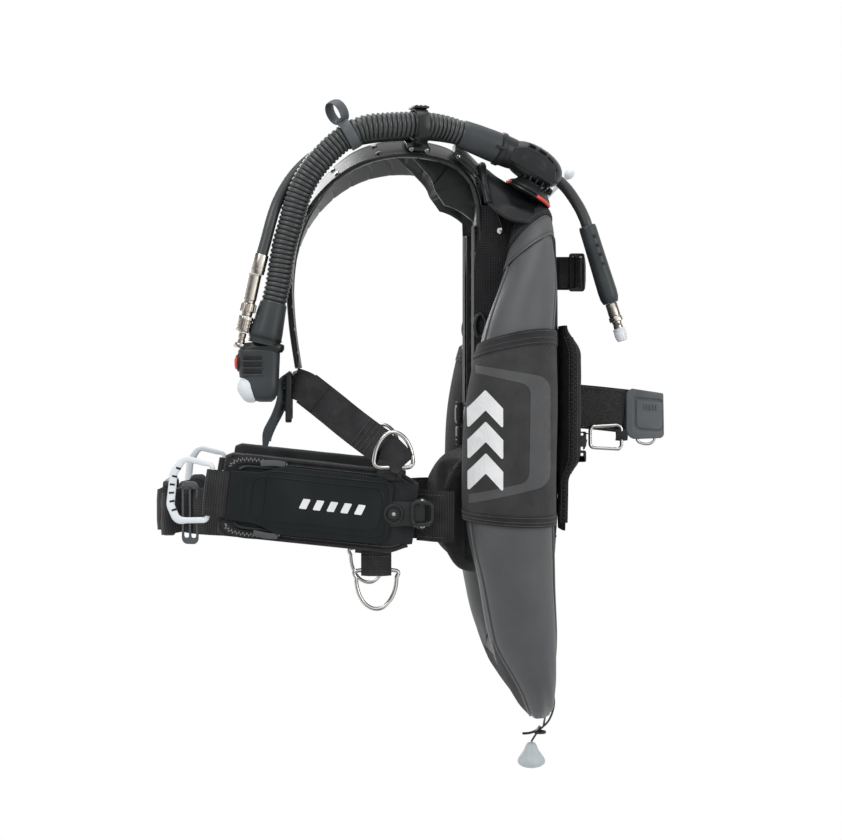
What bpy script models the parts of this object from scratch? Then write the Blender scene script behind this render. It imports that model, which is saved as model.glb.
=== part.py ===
"""Buoyancy compensator vest for scuba diving: a back-mounted air cell on a harness with weight pockets.

Millimetres in, metres out: mm() turns the design's figures into Blender's units. +Z is up, -Y is the way
the wearer faces, +X is the wearer's left. The origin is the centre of the flat seat that the tank rests on.
"""

import math

import bmesh
import bpy
from mathutils import Matrix, Vector

MM = 0.001
GAP = 0.4  # clearance between neighbouring solids
SIDES = (("left", 1), ("right", -1))
X_AXIS, Y_AXIS, Z_AXIS = Vector((1, 0, 0)), Vector((0, 1, 0)), Vector((0, 0, 1))

# Backplate and padding
PLATE_BACK = -12.0
PLATE_THICKNESS = 8.0
SEAT_HALF_WIDTH = 42.0
SEAT_HEIGHT = 190.0
SLOT_WIDTH = 12.0
PAD_FRONT, PAD_REAR = -80.0, -28.0
LUMBAR_HALF_SPAN = 150.0
LUMBAR_THICKNESS = 12.0

# Air cell: stations of its left half from the top centre to the bottom centre, as
# (x, z, half width outward, y of its middle, half depth fore and aft, rearward lean of the outer edge)
AIR_CELL_STATIONS = (
    (0, 210, 22, -46, 19, 0.30),
    (45, 212, 24, -46, 21, 0.40),
    (88, 194, 30, -43, 21, 0.25),
    (121, 140, 40, -50, 31, 0.05),
    (138, 88, 45, -62, 39, 0.0),
    (146, 14, 49, -70, 47, 0.0),
    (148, -58, 50, -73, 49, 0.0),
    (146, -122, 49, -72, 48, 0.0),
    (140, -184, 48, -64, 42, 0.0),
    (126, -246, 46, -57, 37, 0.15),
    (100, -298, 47, -50, 26, 0.36),
    (48, -305, 45, -47, 20, 0.48),
    (0, -307, 44, -46, 19, 0.5),
)
CELL_STEPS = 2  # lofted rings for each station
CELL_SIDES = 16
PANEL_TOP, PANEL_BOTTOM = 88.5, -122.5
PANEL_GAP, PANEL_THICKNESS = 1.2, 2.0
PANEL_REACH_FRONT, PANEL_REACH_REAR = 7, 5  # sides of the section that the panel covers from its outer edge

# Rear covers: (z, y of the rear face) from the bottom to the top
BOLSTER_PROFILE = ((-131, -7), (-78, -5), (-62, 5), (-50, 11), (62, 12), (80, 8), (91, 0), (97, -7))

# Webbing
BAND_WIDTH, BAND_THICKNESS = 50.0, 2.4
BAND_HALF_WIDTH = 52.0
BAND_DEPTH = 112.0
UPPER_STRAP_WIDTH = 36.0
UPPER_STRAP_Z = 160.0
UPPER_STRAP_HALF_WIDTH = 28.0
BELT_WIDTH, BELT_THICKNESS = 52.0, 2.6
BELT_Z = -113.0
SHOULDER_THICKNESS = 8.0
SHOULDER_ROLL = math.radians(24)  # the strap's outer edge lies lower over the shoulder
SHOULDER_CURL = 40.0  # the greatest depth of the curl at its inner edge
SHOULDER_CORNER = -385.0  # y - z where the curl is deepest
SHOULDER_CURL_REACH = 95.0  # the curl ends this far from there, in y - z
SHOULDER_FRONT = -235.0  # no curl further forward than this
SHOULDER_CURL_FOOT = 216.0  # no curl below this height
SHOULDER_CURL_RISE = 24.0  # the curl is full this far above its foot
WEBBING_WIDTH, WEBBING_THICKNESS = 38.0, 2.6

# Weight pocket, in its own frame: its length runs fore and aft, and it leans down towards the rear
POCKET_CENTRE = (151, -281, -98)
POCKET_LEAN = math.radians(-6.2)
POCKET_LENGTH, POCKET_HEIGHT, POCKET_DEPTH = 210.0, 92.0, 40.0
POUCH_LENGTH, POUCH_HEIGHT, POUCH_DEPTH = 188.0, 66.0, 26.0
POUCH_CLEARANCE = 1.5
FLAP_THICKNESS = 4.0
HANDLE_LENGTH, HANDLE_HEIGHT, HANDLE_RADIUS = 50.0, 68.0, 4.4
HANDLE_PIVOT = -119.0

# Rings
RING_WIRE = 2.3
LOWER_RING_PIVOT = (151, -219, -172)
UPPER_RING_CENTRE = (175, -197, -40)
ACCESSORY_PIVOT = (178, -181, -108)

# Hoses
HOSE_RADIUS = 14.0
SUPPLY_RADIUS = 6.5
HOSE_ROUTE = (
    (100, -119, 310), (106, -143, 317), (116, -170, 319), (125, -207, 317), (128, -233, 313),
    (128, -257, 300), (128, -279, 279), (128, -295, 257), (128, -305, 234), (128, -312, 208),
    (128, -318, 188), (128, -322, 168), (128, -326, 143), (128, -332, 117),
)
SUPPLY_ROUTE = (
    (130, -349, 154), (130, -344, 173), (129, -339, 191), (128, -334, 210), (124, -328, 229),
    (117, -319, 248), (109, -306, 267), (101, -288, 284), (96, -262, 297), (93, -228, 306),
    (90, -190, 310), (82, -152, 311), (66, -118, 307), (46, -86, 299), (36, -52, 289),
    (38, -22, 276), (44, 0, 258), (49, 15, 236), (52, 22, 221),
)
SLEEVE_TOP, SLEEVE_BOTTOM = (53, 25, 212), (57, 52, 124)
CONNECTOR_BASE = (130, -368.5, 71)
CONNECTOR_AXIS = Vector((0, 0.21, 0.978)).normalized()
ELBOW_CENTRE = (80, -40, 279)
ELBOW_FOOT = (82, -47, 243.5)
ELBOW_LEAN = math.radians(-31)
ELBOW_NECK = 14.5
INFLATOR_CENTRE = (128, -347, 41)

# Dump valves
DUMP_X = 60
KNOB_TOP = (DUMP_X, -39, -377)

MATERIALS = {
    "coated_fabric": ((0.095, 0.100, 0.105), 0.55, 0.0),
    "black_fabric": ((0.030, 0.030, 0.031), 0.85, 0.0),
    "webbing": ((0.028, 0.028, 0.030), 0.80, 0.0),
    "foam": ((0.022, 0.022, 0.024), 0.75, 0.0),
    "elastomer": ((0.020, 0.021, 0.022), 0.40, 0.0),
    "black_plastic": ((0.022, 0.023, 0.025), 0.42, 0.0),
    "grey_plastic": ((0.100, 0.115, 0.125), 0.45, 0.0),
    "pale_plastic": ((0.600, 0.640, 0.660), 0.40, 0.0),
    "red_plastic": ((0.600, 0.050, 0.030), 0.40, 0.0),
    "hose_rubber": ((0.035, 0.040, 0.042), 0.50, 0.0),
    "clear_cap": ((0.780, 0.800, 0.840), 0.35, 0.0),
    "stainless": ((0.620, 0.610, 0.590), 0.18, 1.0),
}


# ---------------------------------------------------------------- helpers

def mm(x, y, z):
    """A point given in millimetres, as a vector in metres."""
    return Vector((x, y, z)) * MM


def clear_scene():
    for obj in list(bpy.data.objects):
        bpy.data.objects.remove(obj, do_unlink=True)


def make_collection(name):
    collection = bpy.data.collections.new(name)
    bpy.context.scene.collection.children.link(collection)
    return collection


def material(name):
    found = bpy.data.materials.get(name)
    if found:
        return found
    colour, roughness, metallic = MATERIALS[name]
    made = bpy.data.materials.new(name)
    made.use_nodes = True
    shader = made.node_tree.nodes["Principled BSDF"]
    shader.inputs["Base Color"].default_value = (*colour, 1.0)
    shader.inputs["Roughness"].default_value = roughness
    shader.inputs["Metallic"].default_value = metallic
    made.diffuse_color = (*colour, 1.0)
    return made


def place(obj, finish, parent=None):
    """Puts an object in the parts collection, with its own material, under its parent."""
    for collection in list(obj.users_collection):
        collection.objects.unlink(obj)
    PARTS.objects.link(obj)
    obj.data.materials.clear()
    obj.data.materials.append(material(finish))
    obj.parent = parent
    return obj


def new_part(name, data, finish, parent=None):
    return place(bpy.data.objects.new(name, data), finish, parent)


def as_tool(obj):
    """Makes an object an operand of a Boolean, which isn't part of the model."""
    for collection in list(obj.users_collection):
        collection.objects.unlink(obj)
    TOOLS.objects.link(obj)
    obj.hide_render = True
    obj.display_type = "WIRE"
    return obj


def boolean(obj, operation, operands):
    for operand in operands:
        modifier = obj.modifiers.new(operation.lower(), "BOOLEAN")
        modifier.operation = operation
        modifier.object = as_tool(operand)
        modifier.solver = "EXACT"


def cut(obj, *cutters):
    boolean(obj, "DIFFERENCE", cutters)


def fuse(obj, *additions):
    boolean(obj, "UNION", additions)


def round_edges(obj, width, segments=1):
    bevel = obj.modifiers.new("rounding", "BEVEL")
    bevel.width = width * MM
    bevel.segments = segments
    bevel.limit_method = "ANGLE"


def face_along(obj, direction):
    """Turns an object so that its own Z runs along the direction."""
    obj.rotation_mode = "QUATERNION"
    obj.rotation_quaternion = Z_AXIS.rotation_difference(Vector(direction).normalized())


def box(name, low, high, finish, bevel=0.0, segments=1, parent=None):
    """A block between two corners, with its origin at its middle."""
    low, high = mm(*low), mm(*high)
    bpy.ops.mesh.primitive_cube_add(size=1, location=(0, 0, 0))
    obj = bpy.context.object
    obj.name = name
    obj.data.transform(Matrix.Diagonal((*(high - low), 1)))
    obj.location = (low + high) / 2
    if bevel:
        round_edges(obj, bevel, segments)
    return place(obj, finish, parent)


def span(x_range, y_range, z_range, side=1):
    """The low and high corners of a block on one side of the vest."""
    x_low, x_high = sorted(side * x for x in x_range)
    return (x_low, y_range[0], z_range[0]), (x_high, y_range[1], z_range[1])


def cylinder(name, centre, radius, length, axis, finish, sides=16, parent=None):
    bpy.ops.mesh.primitive_cylinder_add(
        vertices=sides, radius=radius * MM, depth=length * MM, location=mm(*centre))
    obj = bpy.context.object
    obj.name = name
    face_along(obj, axis)
    return place(obj, finish, parent)


def turned(name, profile, base, axis, finish, steps=16, hollow=False, parent=None):
    """A turned piece: (radius, height above its base) down its outer side, and up its bore if hollow."""
    mesh = bpy.data.meshes.new(name)
    edges = [(i, i + 1) for i in range(len(profile) - 1)]
    if hollow:
        edges.append((len(profile) - 1, 0))
    mesh.from_pydata([mm(radius, 0, height) for radius, height in profile], edges, [])
    obj = new_part(name, mesh, finish, parent)
    obj.location = mm(*base)
    face_along(obj, axis)
    screw = obj.modifiers.new("turning", "SCREW")
    screw.angle = math.tau
    screw.steps = steps
    screw.render_steps = steps
    screw.use_merge_vertices = True
    screw.merge_threshold = 0.00001
    return obj


def smooth_route(route, step, closed=False):
    """Points about a step apart along a smooth curve through the route's points, all in millimetres."""
    knots = [Vector(point) for point in route]
    count = len(knots)
    fine = []
    for i in range(count if closed else count - 1):
        if closed:
            a, b, c, d = (knots[(i + k) % count] for k in (-1, 0, 1, 2))
        else:
            a, b, c, d = (knots[min(max(i + k, 0), count - 1)] for k in (-1, 0, 1, 2))
        for j in range(12):
            t = j / 12
            fine.append(0.5 * (
                2 * b + (c - a) * t + (2 * a - 5 * b + 4 * c - d) * t ** 2
                + (3 * b - a - 3 * c + d) * t ** 3))
    fine.append(knots[0] if closed else knots[-1])
    return resampled(fine, step, closed)


def resampled(points, step, closed=False):
    """The same line with evenly spaced points."""
    reach = [0.0]
    for before, after in zip(points, points[1:]):
        reach.append(reach[-1] + (after - before).length)
    count = max(2, round(reach[-1] / step))
    even = []
    i = 0
    for k in range(count if closed else count + 1):
        wanted = reach[-1] * k / count
        while i < len(reach) - 2 and reach[i + 1] < wanted:
            i += 1
        share = (wanted - reach[i]) / max(reach[i + 1] - reach[i], 1e-9)
        even.append(points[i].lerp(points[i + 1], min(share, 1.0)))
    return even


def tube(name, points, radius, finish, resolution=2, closed=False, parent=None, origin=(0, 0, 0)):
    """A round rod or hose along the points."""
    curve = bpy.data.curves.new(name, "CURVE")
    curve.dimensions = "3D"
    curve.bevel_depth = radius * MM
    curve.bevel_resolution = resolution
    curve.use_fill_caps = not closed
    spline = curve.splines.new("POLY")
    spline.points.add(len(points) - 1)
    for point, place_at in zip(spline.points, points):
        point.co = (*((Vector(place_at) - Vector(origin)) * MM), 1)
    spline.use_cyclic_u = closed
    obj = new_part(name, curve, finish, parent)
    obj.location = mm(*origin)
    return obj


def plate(name, outline, thickness, finish, centre, rotation):
    """A flat piece cut to an outline in its own XY plane, as a mesh that can be cut further."""
    curve = bpy.data.curves.new(name, "CURVE")
    curve.dimensions = "2D"
    curve.fill_mode = "BOTH"
    curve.extrude = thickness / 2 * MM
    spline = curve.splines.new("POLY")
    spline.points.add(len(outline) - 1)
    for point, (x, y) in zip(spline.points, outline):
        point.co = (x * MM, y * MM, 0, 1)
    spline.use_cyclic_u = True
    drawn = new_part(name + "_outline", curve, finish)
    drawn.location = mm(*centre)
    drawn.rotation_euler = rotation
    return to_mesh(drawn, name, finish)


def to_mesh(drawn, name, finish):
    """Turns a curve object into a mesh object with its caps welded on."""
    bpy.context.view_layer.update()
    evaluated = drawn.evaluated_get(bpy.context.evaluated_depsgraph_get())
    mesh = bpy.data.meshes.new_from_object(evaluated)
    work = bmesh.new()
    work.from_mesh(mesh)
    bmesh.ops.remove_doubles(work, verts=work.verts, dist=0.00001)
    work.to_mesh(mesh)
    work.free()
    obj = new_part(name, mesh, finish)
    obj.matrix_world = drawn.matrix_world.copy()
    bpy.data.objects.remove(drawn, do_unlink=True)
    return obj


def rounded(corners, radius, steps=3):
    """An outline with each corner turned by an arc."""
    outline = []
    count = len(corners)
    for i, corner in enumerate(corners):
        here = Vector(corner)
        to_last = (Vector(corners[i - 1]) - here).normalized()
        to_next = (Vector(corners[(i + 1) % count]) - here).normalized()
        half = math.acos(max(-1, min(1, to_last.dot(to_next)))) / 2
        trim = radius / math.tan(half)
        middle = here + (to_last + to_next).normalized() * (radius / math.sin(half))
        start = here + to_last * trim - middle
        turn = start.angle_signed(here + to_next * trim - middle)
        for k in range(steps + 1):
            angle = -turn * k / steps
            outline.append(tuple(middle + Matrix.Rotation(angle, 2) @ start))
    return outline


def ribbon(name, points, across, widths, thickness, finish, closed=False, parent=None, origin=(0, 0, 0)):
    """A flat strap along the points, as wide as widths across each of them."""
    work = bmesh.new()
    rows = []
    for i, point in enumerate(points):
        direction = Vector(across[i]).normalized() if isinstance(across, list) else Vector(across).normalized()
        width = widths[i] if isinstance(widths, list) else widths
        centre = Vector(point) - Vector(origin)
        rows.append([work.verts.new((centre + direction * width * share) * MM) for share in (-0.5, 0.5)])
    pairs = list(zip(rows, rows[1:]))
    if closed:
        pairs.append((rows[-1], rows[0]))
    for row, following in pairs:
        work.faces.new((row[0], row[1], following[1], following[0]))
    mesh = bpy.data.meshes.new(name)
    work.to_mesh(mesh)
    work.free()
    obj = new_part(name, mesh, finish, parent)
    obj.location = mm(*origin)
    solidify = obj.modifiers.new("thickness", "SOLIDIFY")
    solidify.thickness = thickness * MM
    solidify.offset = 0
    solidify.use_even_offset = True
    return obj


def loft(name, rings, finish, closed=False):
    """A solid through rings of equally many points; the ends are capped unless it closes on itself."""
    work = bmesh.new()
    loops = [[work.verts.new(Vector(point) * MM) for point in ring] for ring in rings]
    pairs = list(zip(loops, loops[1:]))
    if closed:
        pairs.append((loops[-1], loops[0]))
    for loop, following in pairs:
        for i in range(len(loop)):
            j = (i + 1) % len(loop)
            work.faces.new((loop[i], loop[j], following[j], following[i]))
    if not closed:
        work.faces.new(loops[0])
        work.faces.new(loops[-1])
    bmesh.ops.recalc_face_normals(work, faces=work.faces)
    mesh = bpy.data.meshes.new(name)
    work.to_mesh(mesh)
    work.free()
    return new_part(name, mesh, finish)


# ---------------------------------------------------------------- back

def make_backplate():
    half = ((62, 200), (84, 130), (90, 0), (84, -120), (58, -168))
    corners = list(half) + [(-x, z) for x, z in reversed(half)]
    middle_y = PLATE_BACK - PLATE_THICKNESS / 2
    backplate = plate(
        "backplate", rounded(corners, 14), PLATE_THICKNESS, "black_plastic",
        (0, middle_y, 0), (math.radians(90), 0, 0))
    slots = []
    for x, z, height in (
            (BAND_HALF_WIDTH, 7, BAND_WIDTH + 10),
            (UPPER_STRAP_HALF_WIDTH, UPPER_STRAP_Z, UPPER_STRAP_WIDTH + 8)):
        for label, side in SIDES:
            low, high = span(
                (x - SLOT_WIDTH / 2, x + SLOT_WIDTH / 2), (middle_y - 10, middle_y + 10),
                (z - height / 2, z + height / 2), side)
            slots.append(box(f"slot_{label}_{z}", low, high, "black_plastic"))
    cut(backplate, *slots)


def make_tank_seat():
    """The ribbed rubber pad that the tank lies on; its flat back is the plane y = 0."""
    low, high = span(
        (-SEAT_HALF_WIDTH, SEAT_HALF_WIDTH), (PLATE_BACK + GAP, 0), (-SEAT_HEIGHT / 2, SEAT_HEIGHT / 2))
    box("tank_seat", low, high, "elastomer")


def make_padding():
    half = ((60, 150), (78, 90), (78, -40))
    corners = [(38, 178)] + list(half) + [(-x, z) for x, z in reversed(half)] + [(-38, 178)]
    back_pad = plate("back_pad", rounded(corners, 12), PAD_REAR - PAD_FRONT, "foam",
                     (0, (PAD_FRONT + PAD_REAR) / 2, 0), (math.radians(90), 0, 0))
    round_edges(back_pad, 10, 2)
    sections = []
    for k in range(13):
        share = -1 + k / 6
        x = share * LUMBAR_HALF_SPAN
        y = -98 - 46 * share ** 2
        half_height = 67 * (1 - 0.55 * share ** 6)
        half_thickness = LUMBAR_THICKNESS / 2 * (1 - 0.4 * share ** 8)
        sections.append([
            (x, y + depth * half_thickness, BELT_Z + rise * half_height)
            for depth, rise in ((-1, -0.8), (-1, 0.8), (-0.5, 1), (0.5, 1), (1, 0.8), (1, -0.8), (0.5, -1), (-0.5, -1))])
    loft("lumbar_pad", sections, "foam")


def cell_stations():
    """The air cell's stations all the way round, left half down and right half up."""
    right = [(-x, *rest) for x, *rest in reversed(AIR_CELL_STATIONS[1:-1])]
    return list(AIR_CELL_STATIONS) + right


def cell_rings():
    """Centre, outward direction and section sizes of every ring of the air cell."""
    stations = cell_stations()
    count = len(stations)
    rings = []
    for i in range(count):
        knots = [Vector(stations[(i + k) % count]) for k in (-1, 0, 1, 2)]
        for j in range(CELL_STEPS):
            t = j / CELL_STEPS
            a, b, c, d = knots
            x, z, width, y, depth, lean = 0.5 * (
                2 * b + (c - a) * t + (2 * a - 5 * b + 4 * c - d) * t ** 2
                + (3 * b - a - 3 * c + d) * t ** 3)
            rings.append((x, y, z, width, depth, lean))
    return rings


def cell_section(rings, i, offset=0.0, sides=range(CELL_SIDES)):
    """The points of one ring's section, offset outward."""
    x, y, z, width, depth, lean = rings[i]
    before, after = rings[i - 1], rings[(i + 1) % len(rings)]
    outward = Vector((-(after[2] - before[2]), after[0] - before[0])).normalized()
    section = []
    for k in sides:
        angle = math.tau * k / CELL_SIDES
        out = (width + offset) * math.cos(angle)
        back = (depth + offset) * math.sin(angle) + lean * out
        section.append((x + outward.x * out, y + back, z + outward.y * out))
    return section


def make_air_cell():
    rings = cell_rings()
    loft("air_cell", [cell_section(rings, i) for i in range(len(rings))], "coated_fabric", closed=True)


def make_wing_panels():
    """The stretch panel round each lobe at the waist, as a strip that is open towards the wearer's spine."""
    rings = cell_rings()
    reach = range(-PANEL_REACH_FRONT, PANEL_REACH_REAR + 1)
    for label, side in SIDES:
        sections = []
        for i, ring in enumerate(rings):
            if ring[0] * side > 0 and PANEL_BOTTOM < ring[2] < PANEL_TOP:
                inner = cell_section(rings, i, PANEL_GAP, reach)
                outer = cell_section(rings, i, PANEL_GAP + PANEL_THICKNESS, reach)
                sections.append(inner + outer[::-1])
        loft(f"wing_panel_{label}", sections, "black_fabric")


def make_rear_bolsters():
    """Padded covers beside the tank: deep over the middle, thin below, sloped off at the top."""
    front = PLATE_BACK + GAP
    for label, side in SIDES:
        rings = []
        for z, rear in BOLSTER_PROFILE:
            chamfer = min(7, (rear - front) * 0.45)
            rings.append([(side * x, y, z) for x, y in (
                (62, front), (126, front), (126, rear - chamfer), (126 - chamfer, rear),
                (62 + chamfer, rear), (62, rear - chamfer))])
        loft(f"rear_bolster_{label}", rings, "black_fabric")


def make_carry_handle():
    route = ((-37, -102, 206), (-36, -103, 236), (-28, -103, 264), (0, -103, 280),
             (28, -103, 264), (36, -103, 236), (37, -102, 206))
    ribbon("carry_handle", smooth_route(route, 16), Y_AXIS, 18, 3.5, "webbing")


# ---------------------------------------------------------------- tank straps

def make_tank_band():
    half = ((0, -25), (36, -25), (49, -23), (52, -10), (54, 30), (54, 66), (50, 92), (34, 107), (0, BAND_DEPTH))
    droop = 12 / BAND_DEPTH
    outline = list(half) + [(-x, y) for x, y in reversed(half[1:-1])]
    route = [(x, y, 8 - droop * max(y, 0)) for x, y in outline]
    ribbon("tank_band", smooth_route(route, 10, closed=True), Z_AXIS, BAND_WIDTH, BAND_THICKNESS,
           "webbing", closed=True)
    box("band_grip", (57, 69, -30), (65, 113, 25), "grey_plastic", bevel=3, segments=2)


def make_band_buckle():
    """The wire cinch loop under the band's free end, hinged at its rear bar."""
    pivot = (60, 64, -29)
    corners = rounded(((0, -14), (0, 14), (-36, 12), (-36, -12)), 5)
    loop = [(pivot[0], pivot[1] + y, pivot[2] + z) for y, z in corners]
    tube("band_buckle", loop, RING_WIRE - 0.3, "stainless", closed=True, origin=pivot)


def make_upper_tank_strap():
    wide = UPPER_STRAP_HALF_WIDTH
    half = ((0, -23), (wide - 8, -23), (wide - 1, -20), (wide, -4), (wide, 12), (wide - 8, 25), (0, 29))
    outline = list(half) + [(-x, y) for x, y in reversed(half[1:-1])]
    route = [(x, y, UPPER_STRAP_Z) for x, y in outline]
    ribbon("upper_tank_strap", smooth_route(route, 8, closed=True), Z_AXIS, UPPER_STRAP_WIDTH,
           2.2, "webbing", closed=True)


# ---------------------------------------------------------------- shoulder harness

def shoulder_sections(points, side):
    """Sections of a shoulder strap: a flat band whose inner edge curls down behind the shoulder."""
    sections = []
    for i, point in enumerate(points):
        share = max(0.0, min(1.0, (point.z - 150) / 130))
        roll = SHOULDER_ROLL * share
        forward = (points[min(i + 1, len(points) - 1)] - points[max(i - 1, 0)]).normalized()
        across = Vector((side * math.cos(roll), 0, -math.sin(roll)))
        across = (across - forward * across.dot(forward)).normalized()
        face = forward.cross(across).normalized() * side
        half = (40 + 12 * share) / 2
        rise = SHOULDER_THICKNESS / 2
        curl = rise + shoulder_curl(point)
        outer, inner = point + across * half, point - across * half
        inset = inner + across * SHOULDER_THICKNESS
        down = -Vector((0, face.y, face.z)).normalized()
        sections.append([outer + face * rise, inner + face * rise, inner + down * curl,
                         inset + down * curl, inset - face * rise, outer - face * rise])
    return sections


def shoulder_curl(point):
    """How far the inner edge curls down: most at the corner behind the shoulder, none in front."""
    away = abs(point.y - point.z - SHOULDER_CORNER) / SHOULDER_CURL_REACH
    behind = 1 if point.y > SHOULDER_FRONT else 0
    above = max(0.0, min(1.0, (point.z - SHOULDER_CURL_FOOT) / SHOULDER_CURL_RISE))
    return 0.6 + behind * above * SHOULDER_CURL * max(0.0, 1 - away ** 2)


def make_shoulder_straps():
    for label, side in SIDES:
        route = [(side * x, y, z) for x, y, z in (
            (68, -101, -34), (68, -101, 60), (68, -101, 150), (68, -101, 205), (68, -103, 243),
            (72, -115, 272), (78, -140, 289),
            (86, -185, 295), (90, -228, 287), (90, -262, 266), (88, -290, 233), (87, -307, 195),
            (87, -314, 150), (87, -312, 100), (88, -305, 50))]
        points = smooth_route(route, 22)
        loft(f"shoulder_strap_{label}", shoulder_sections(points, side), "elastomer")


def make_shoulder_buckles():
    for label, side in SIDES:
        low, high = span((66, 110), (-321, -309), (-12, 44), side)
        buckle = box(f"shoulder_buckle_{label}", low, high, "black_plastic", bevel=3)
        slots = []
        for number, z in enumerate((-4, 32)):
            low, high = span((71, 105), (-330, -300), (z, z + 5), side)
            slots.append(box(f"buckle_slot_{label}_{number}", low, high, "black_plastic"))
        cut(buckle, *slots)


def make_shoulder_webbing():
    """The webbing from the shoulder buckle down to the ring on the pocket, turning to face outward."""
    for label, side in SIDES:
        route = [(side * x, y, z) for x, y, z in (
            (113, -295, 27), (124, -272, 9), (141, -246, -12), (158, -222, -30), (167, -213, -36))]
        points = smooth_route(route, 20)
        ribbon(f"shoulder_webbing_{label}", points, (0.05 * side, 0.60, 0.80), WEBBING_WIDTH,
               WEBBING_THICKNESS, "webbing")


def make_upper_rings():
    for label, side in SIDES:
        x, y, z = UPPER_RING_CENTRE
        bar = [(side * x, y + along, z - 18) for along in (-19, 12)]
        arc = [(side * x, y - 4 + 21 * math.cos(a), z - 14 + 34 * math.sin(a))
               for a in (math.pi * k / 12 for k in range(13))]
        ring = bar + arc
        tube(f"upper_d_ring_{label}", ring, RING_WIRE, "stainless", closed=True, origin=(side * x, y, z))


# ---------------------------------------------------------------- waist

def make_waist_belts():
    for label, side in SIDES:
        plan = ((154, -134), (155, -146), (147, -158), (134, -167), (127, -181), (126, -228), (125, -280),
                (124, -330), (118, -376), (100, -410), (72, -430), (40, -440), (5, -442))
        route = [(side * x, y, BELT_Z + 0.012 * (-134 - y)) for x, y in plan]
        ribbon(f"waist_belt_{label}", smooth_route(route, 13), Z_AXIS, BELT_WIDTH, BELT_THICKNESS, "webbing")


def make_waist_buckle():
    """A side-release buckle: the plug's prongs enter the socket from the wearer's left."""
    low_z, high_z = -141, -78
    socket = box("waist_buckle_socket", (-40, -459, low_z), (0, -444.2, high_z), "black_plastic", bevel=4)
    cut(socket, box("socket_mouth", (-31, -455.5, low_z + 6), (5, -447.7, high_z - 6), "black_plastic"))
    plug = box("waist_buckle_plug", (0.6, -459, low_z), (46, -444.2, high_z), "black_plastic", bevel=4)
    prongs = [box(f"prong_{number}", (-27, -454.8, z), (8, -448.4, z + 10), "black_plastic")
              for number, z in enumerate((low_z + 9, -114.5, high_z - 19))]
    fuse(plug, *prongs)
    cut(plug, box("plug_slot_inner", (15, -470, -136), (23, -440, -83), "black_plastic"),
        box("plug_slot_outer", (31, -470, -136), (39, -440, -83), "black_plastic"))


# ---------------------------------------------------------------- weight pockets

def pocket_frame(label, side):
    empty = bpy.data.objects.new(f"pocket_frame_{label}", None)
    PARTS.objects.link(empty)
    x, y, z = POCKET_CENTRE
    empty.location = mm(side * x, y, z)
    empty.rotation_euler = (POCKET_LEAN, 0, 0)
    return empty


def make_holster(label, side, frame):
    """The pocket's case, open at its front, with the tab for the lower ring and the lug for the loop."""
    half_x, half_y, half_z = POCKET_DEPTH / 2, POCKET_LENGTH / 2, POCKET_HEIGHT / 2
    low, high = span((-half_x, half_x), (-half_y, half_y), (-half_z, half_z), side)
    holster = box(f"pocket_holster_{label}", low, high, "black_fabric", bevel=7, segments=2, parent=frame)
    room_x = POUCH_DEPTH / 2 + POUCH_CLEARANCE
    room_z = POUCH_HEIGHT / 2 + POUCH_CLEARANCE
    low, high = span((-room_x, room_x), (-half_y - 5, POUCH_LENGTH - half_y + 4), (-room_z, room_z), side)
    cut(holster, box(f"pouch_room_{label}", low, high, "black_fabric", parent=frame))
    x, y, z = LOWER_RING_PIVOT
    low, high = span((x - 4.5, x + 4.5), (y - 17, y + 17), (z - 5.5, -147), side)
    tab = box(f"ring_tab_{label}", low, high, "black_fabric")
    x, y, z = ACCESSORY_PIVOT
    low, high = span((168, x + 4.5), (y - 18, y + 4.5), (z - 9, z + 9), side)
    lug = box(f"loop_lug_{label}", low, high, "black_plastic")
    fuse(holster, tab, lug)
    ring_hole = cylinder(
        f"ring_hole_{label}", (side * LOWER_RING_PIVOT[0], LOWER_RING_PIVOT[1], LOWER_RING_PIVOT[2]),
        RING_WIRE + 0.8, 60, Y_AXIS, "black_fabric", sides=12)
    loop_hole = cylinder(
        f"loop_hole_{label}", (side * x, y, z), RING_WIRE + 1.2, 40, Z_AXIS, "black_plastic", sides=12)
    cut(holster, ring_hole, loop_hole)


def make_pouch(label, side, frame):
    front = -POCKET_LENGTH / 2
    low, high = span(
        (-POUCH_DEPTH / 2, POUCH_DEPTH / 2), (front + GAP, front + POUCH_LENGTH),
        (-POUCH_HEIGHT / 2, POUCH_HEIGHT / 2), side)
    box(f"weight_pouch_{label}", low, high, "black_fabric", bevel=4, parent=frame)


def make_flap(label, side, frame):
    """The moulded outer flap, with a return round the pocket's front that holds the pull handle."""
    front = -POCKET_LENGTH / 2
    face = POCKET_DEPTH / 2 + GAP
    corners = ((front - 5, -27), (front + 38, -28), (front + 62, -37), (72, -36),
               (72, 36), (front + 62, 37), (front + 38, 28), (front - 5, 27))
    flap = plate(
        f"pouch_flap_{label}", rounded(corners, 8), FLAP_THICKNESS, "black_plastic", (0, 0, 0), (0, 0, 0))
    turn = Matrix(((0, 0, 1, 0), (1, 0, 0, 0), (0, 1, 0, 0), (0, 0, 0, 1)))
    flap.data.transform(Matrix.Translation(mm(side * (face + FLAP_THICKNESS / 2), 0, 0)) @ turn)
    flap.parent = frame
    low, high = span((-6, face + FLAP_THICKNESS), (front - 5, front - GAP), (-27, 27), side)
    wall = box(f"flap_return_{label}", low, high, "black_plastic", parent=frame)
    low, high = span((6, 20), (HANDLE_PIVOT - 7.5, front - 3), (-13, 13), side)
    loop = box(f"handle_loop_{label}", low, high, "black_plastic", parent=frame)
    fuse(flap, wall, loop)
    cut(flap, cylinder(
        f"handle_hole_{label}", (side * 13, HANDLE_PIVOT, 0), HANDLE_RADIUS + 1, 60, Z_AXIS,
        "black_plastic", sides=16, parent=frame))


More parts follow.
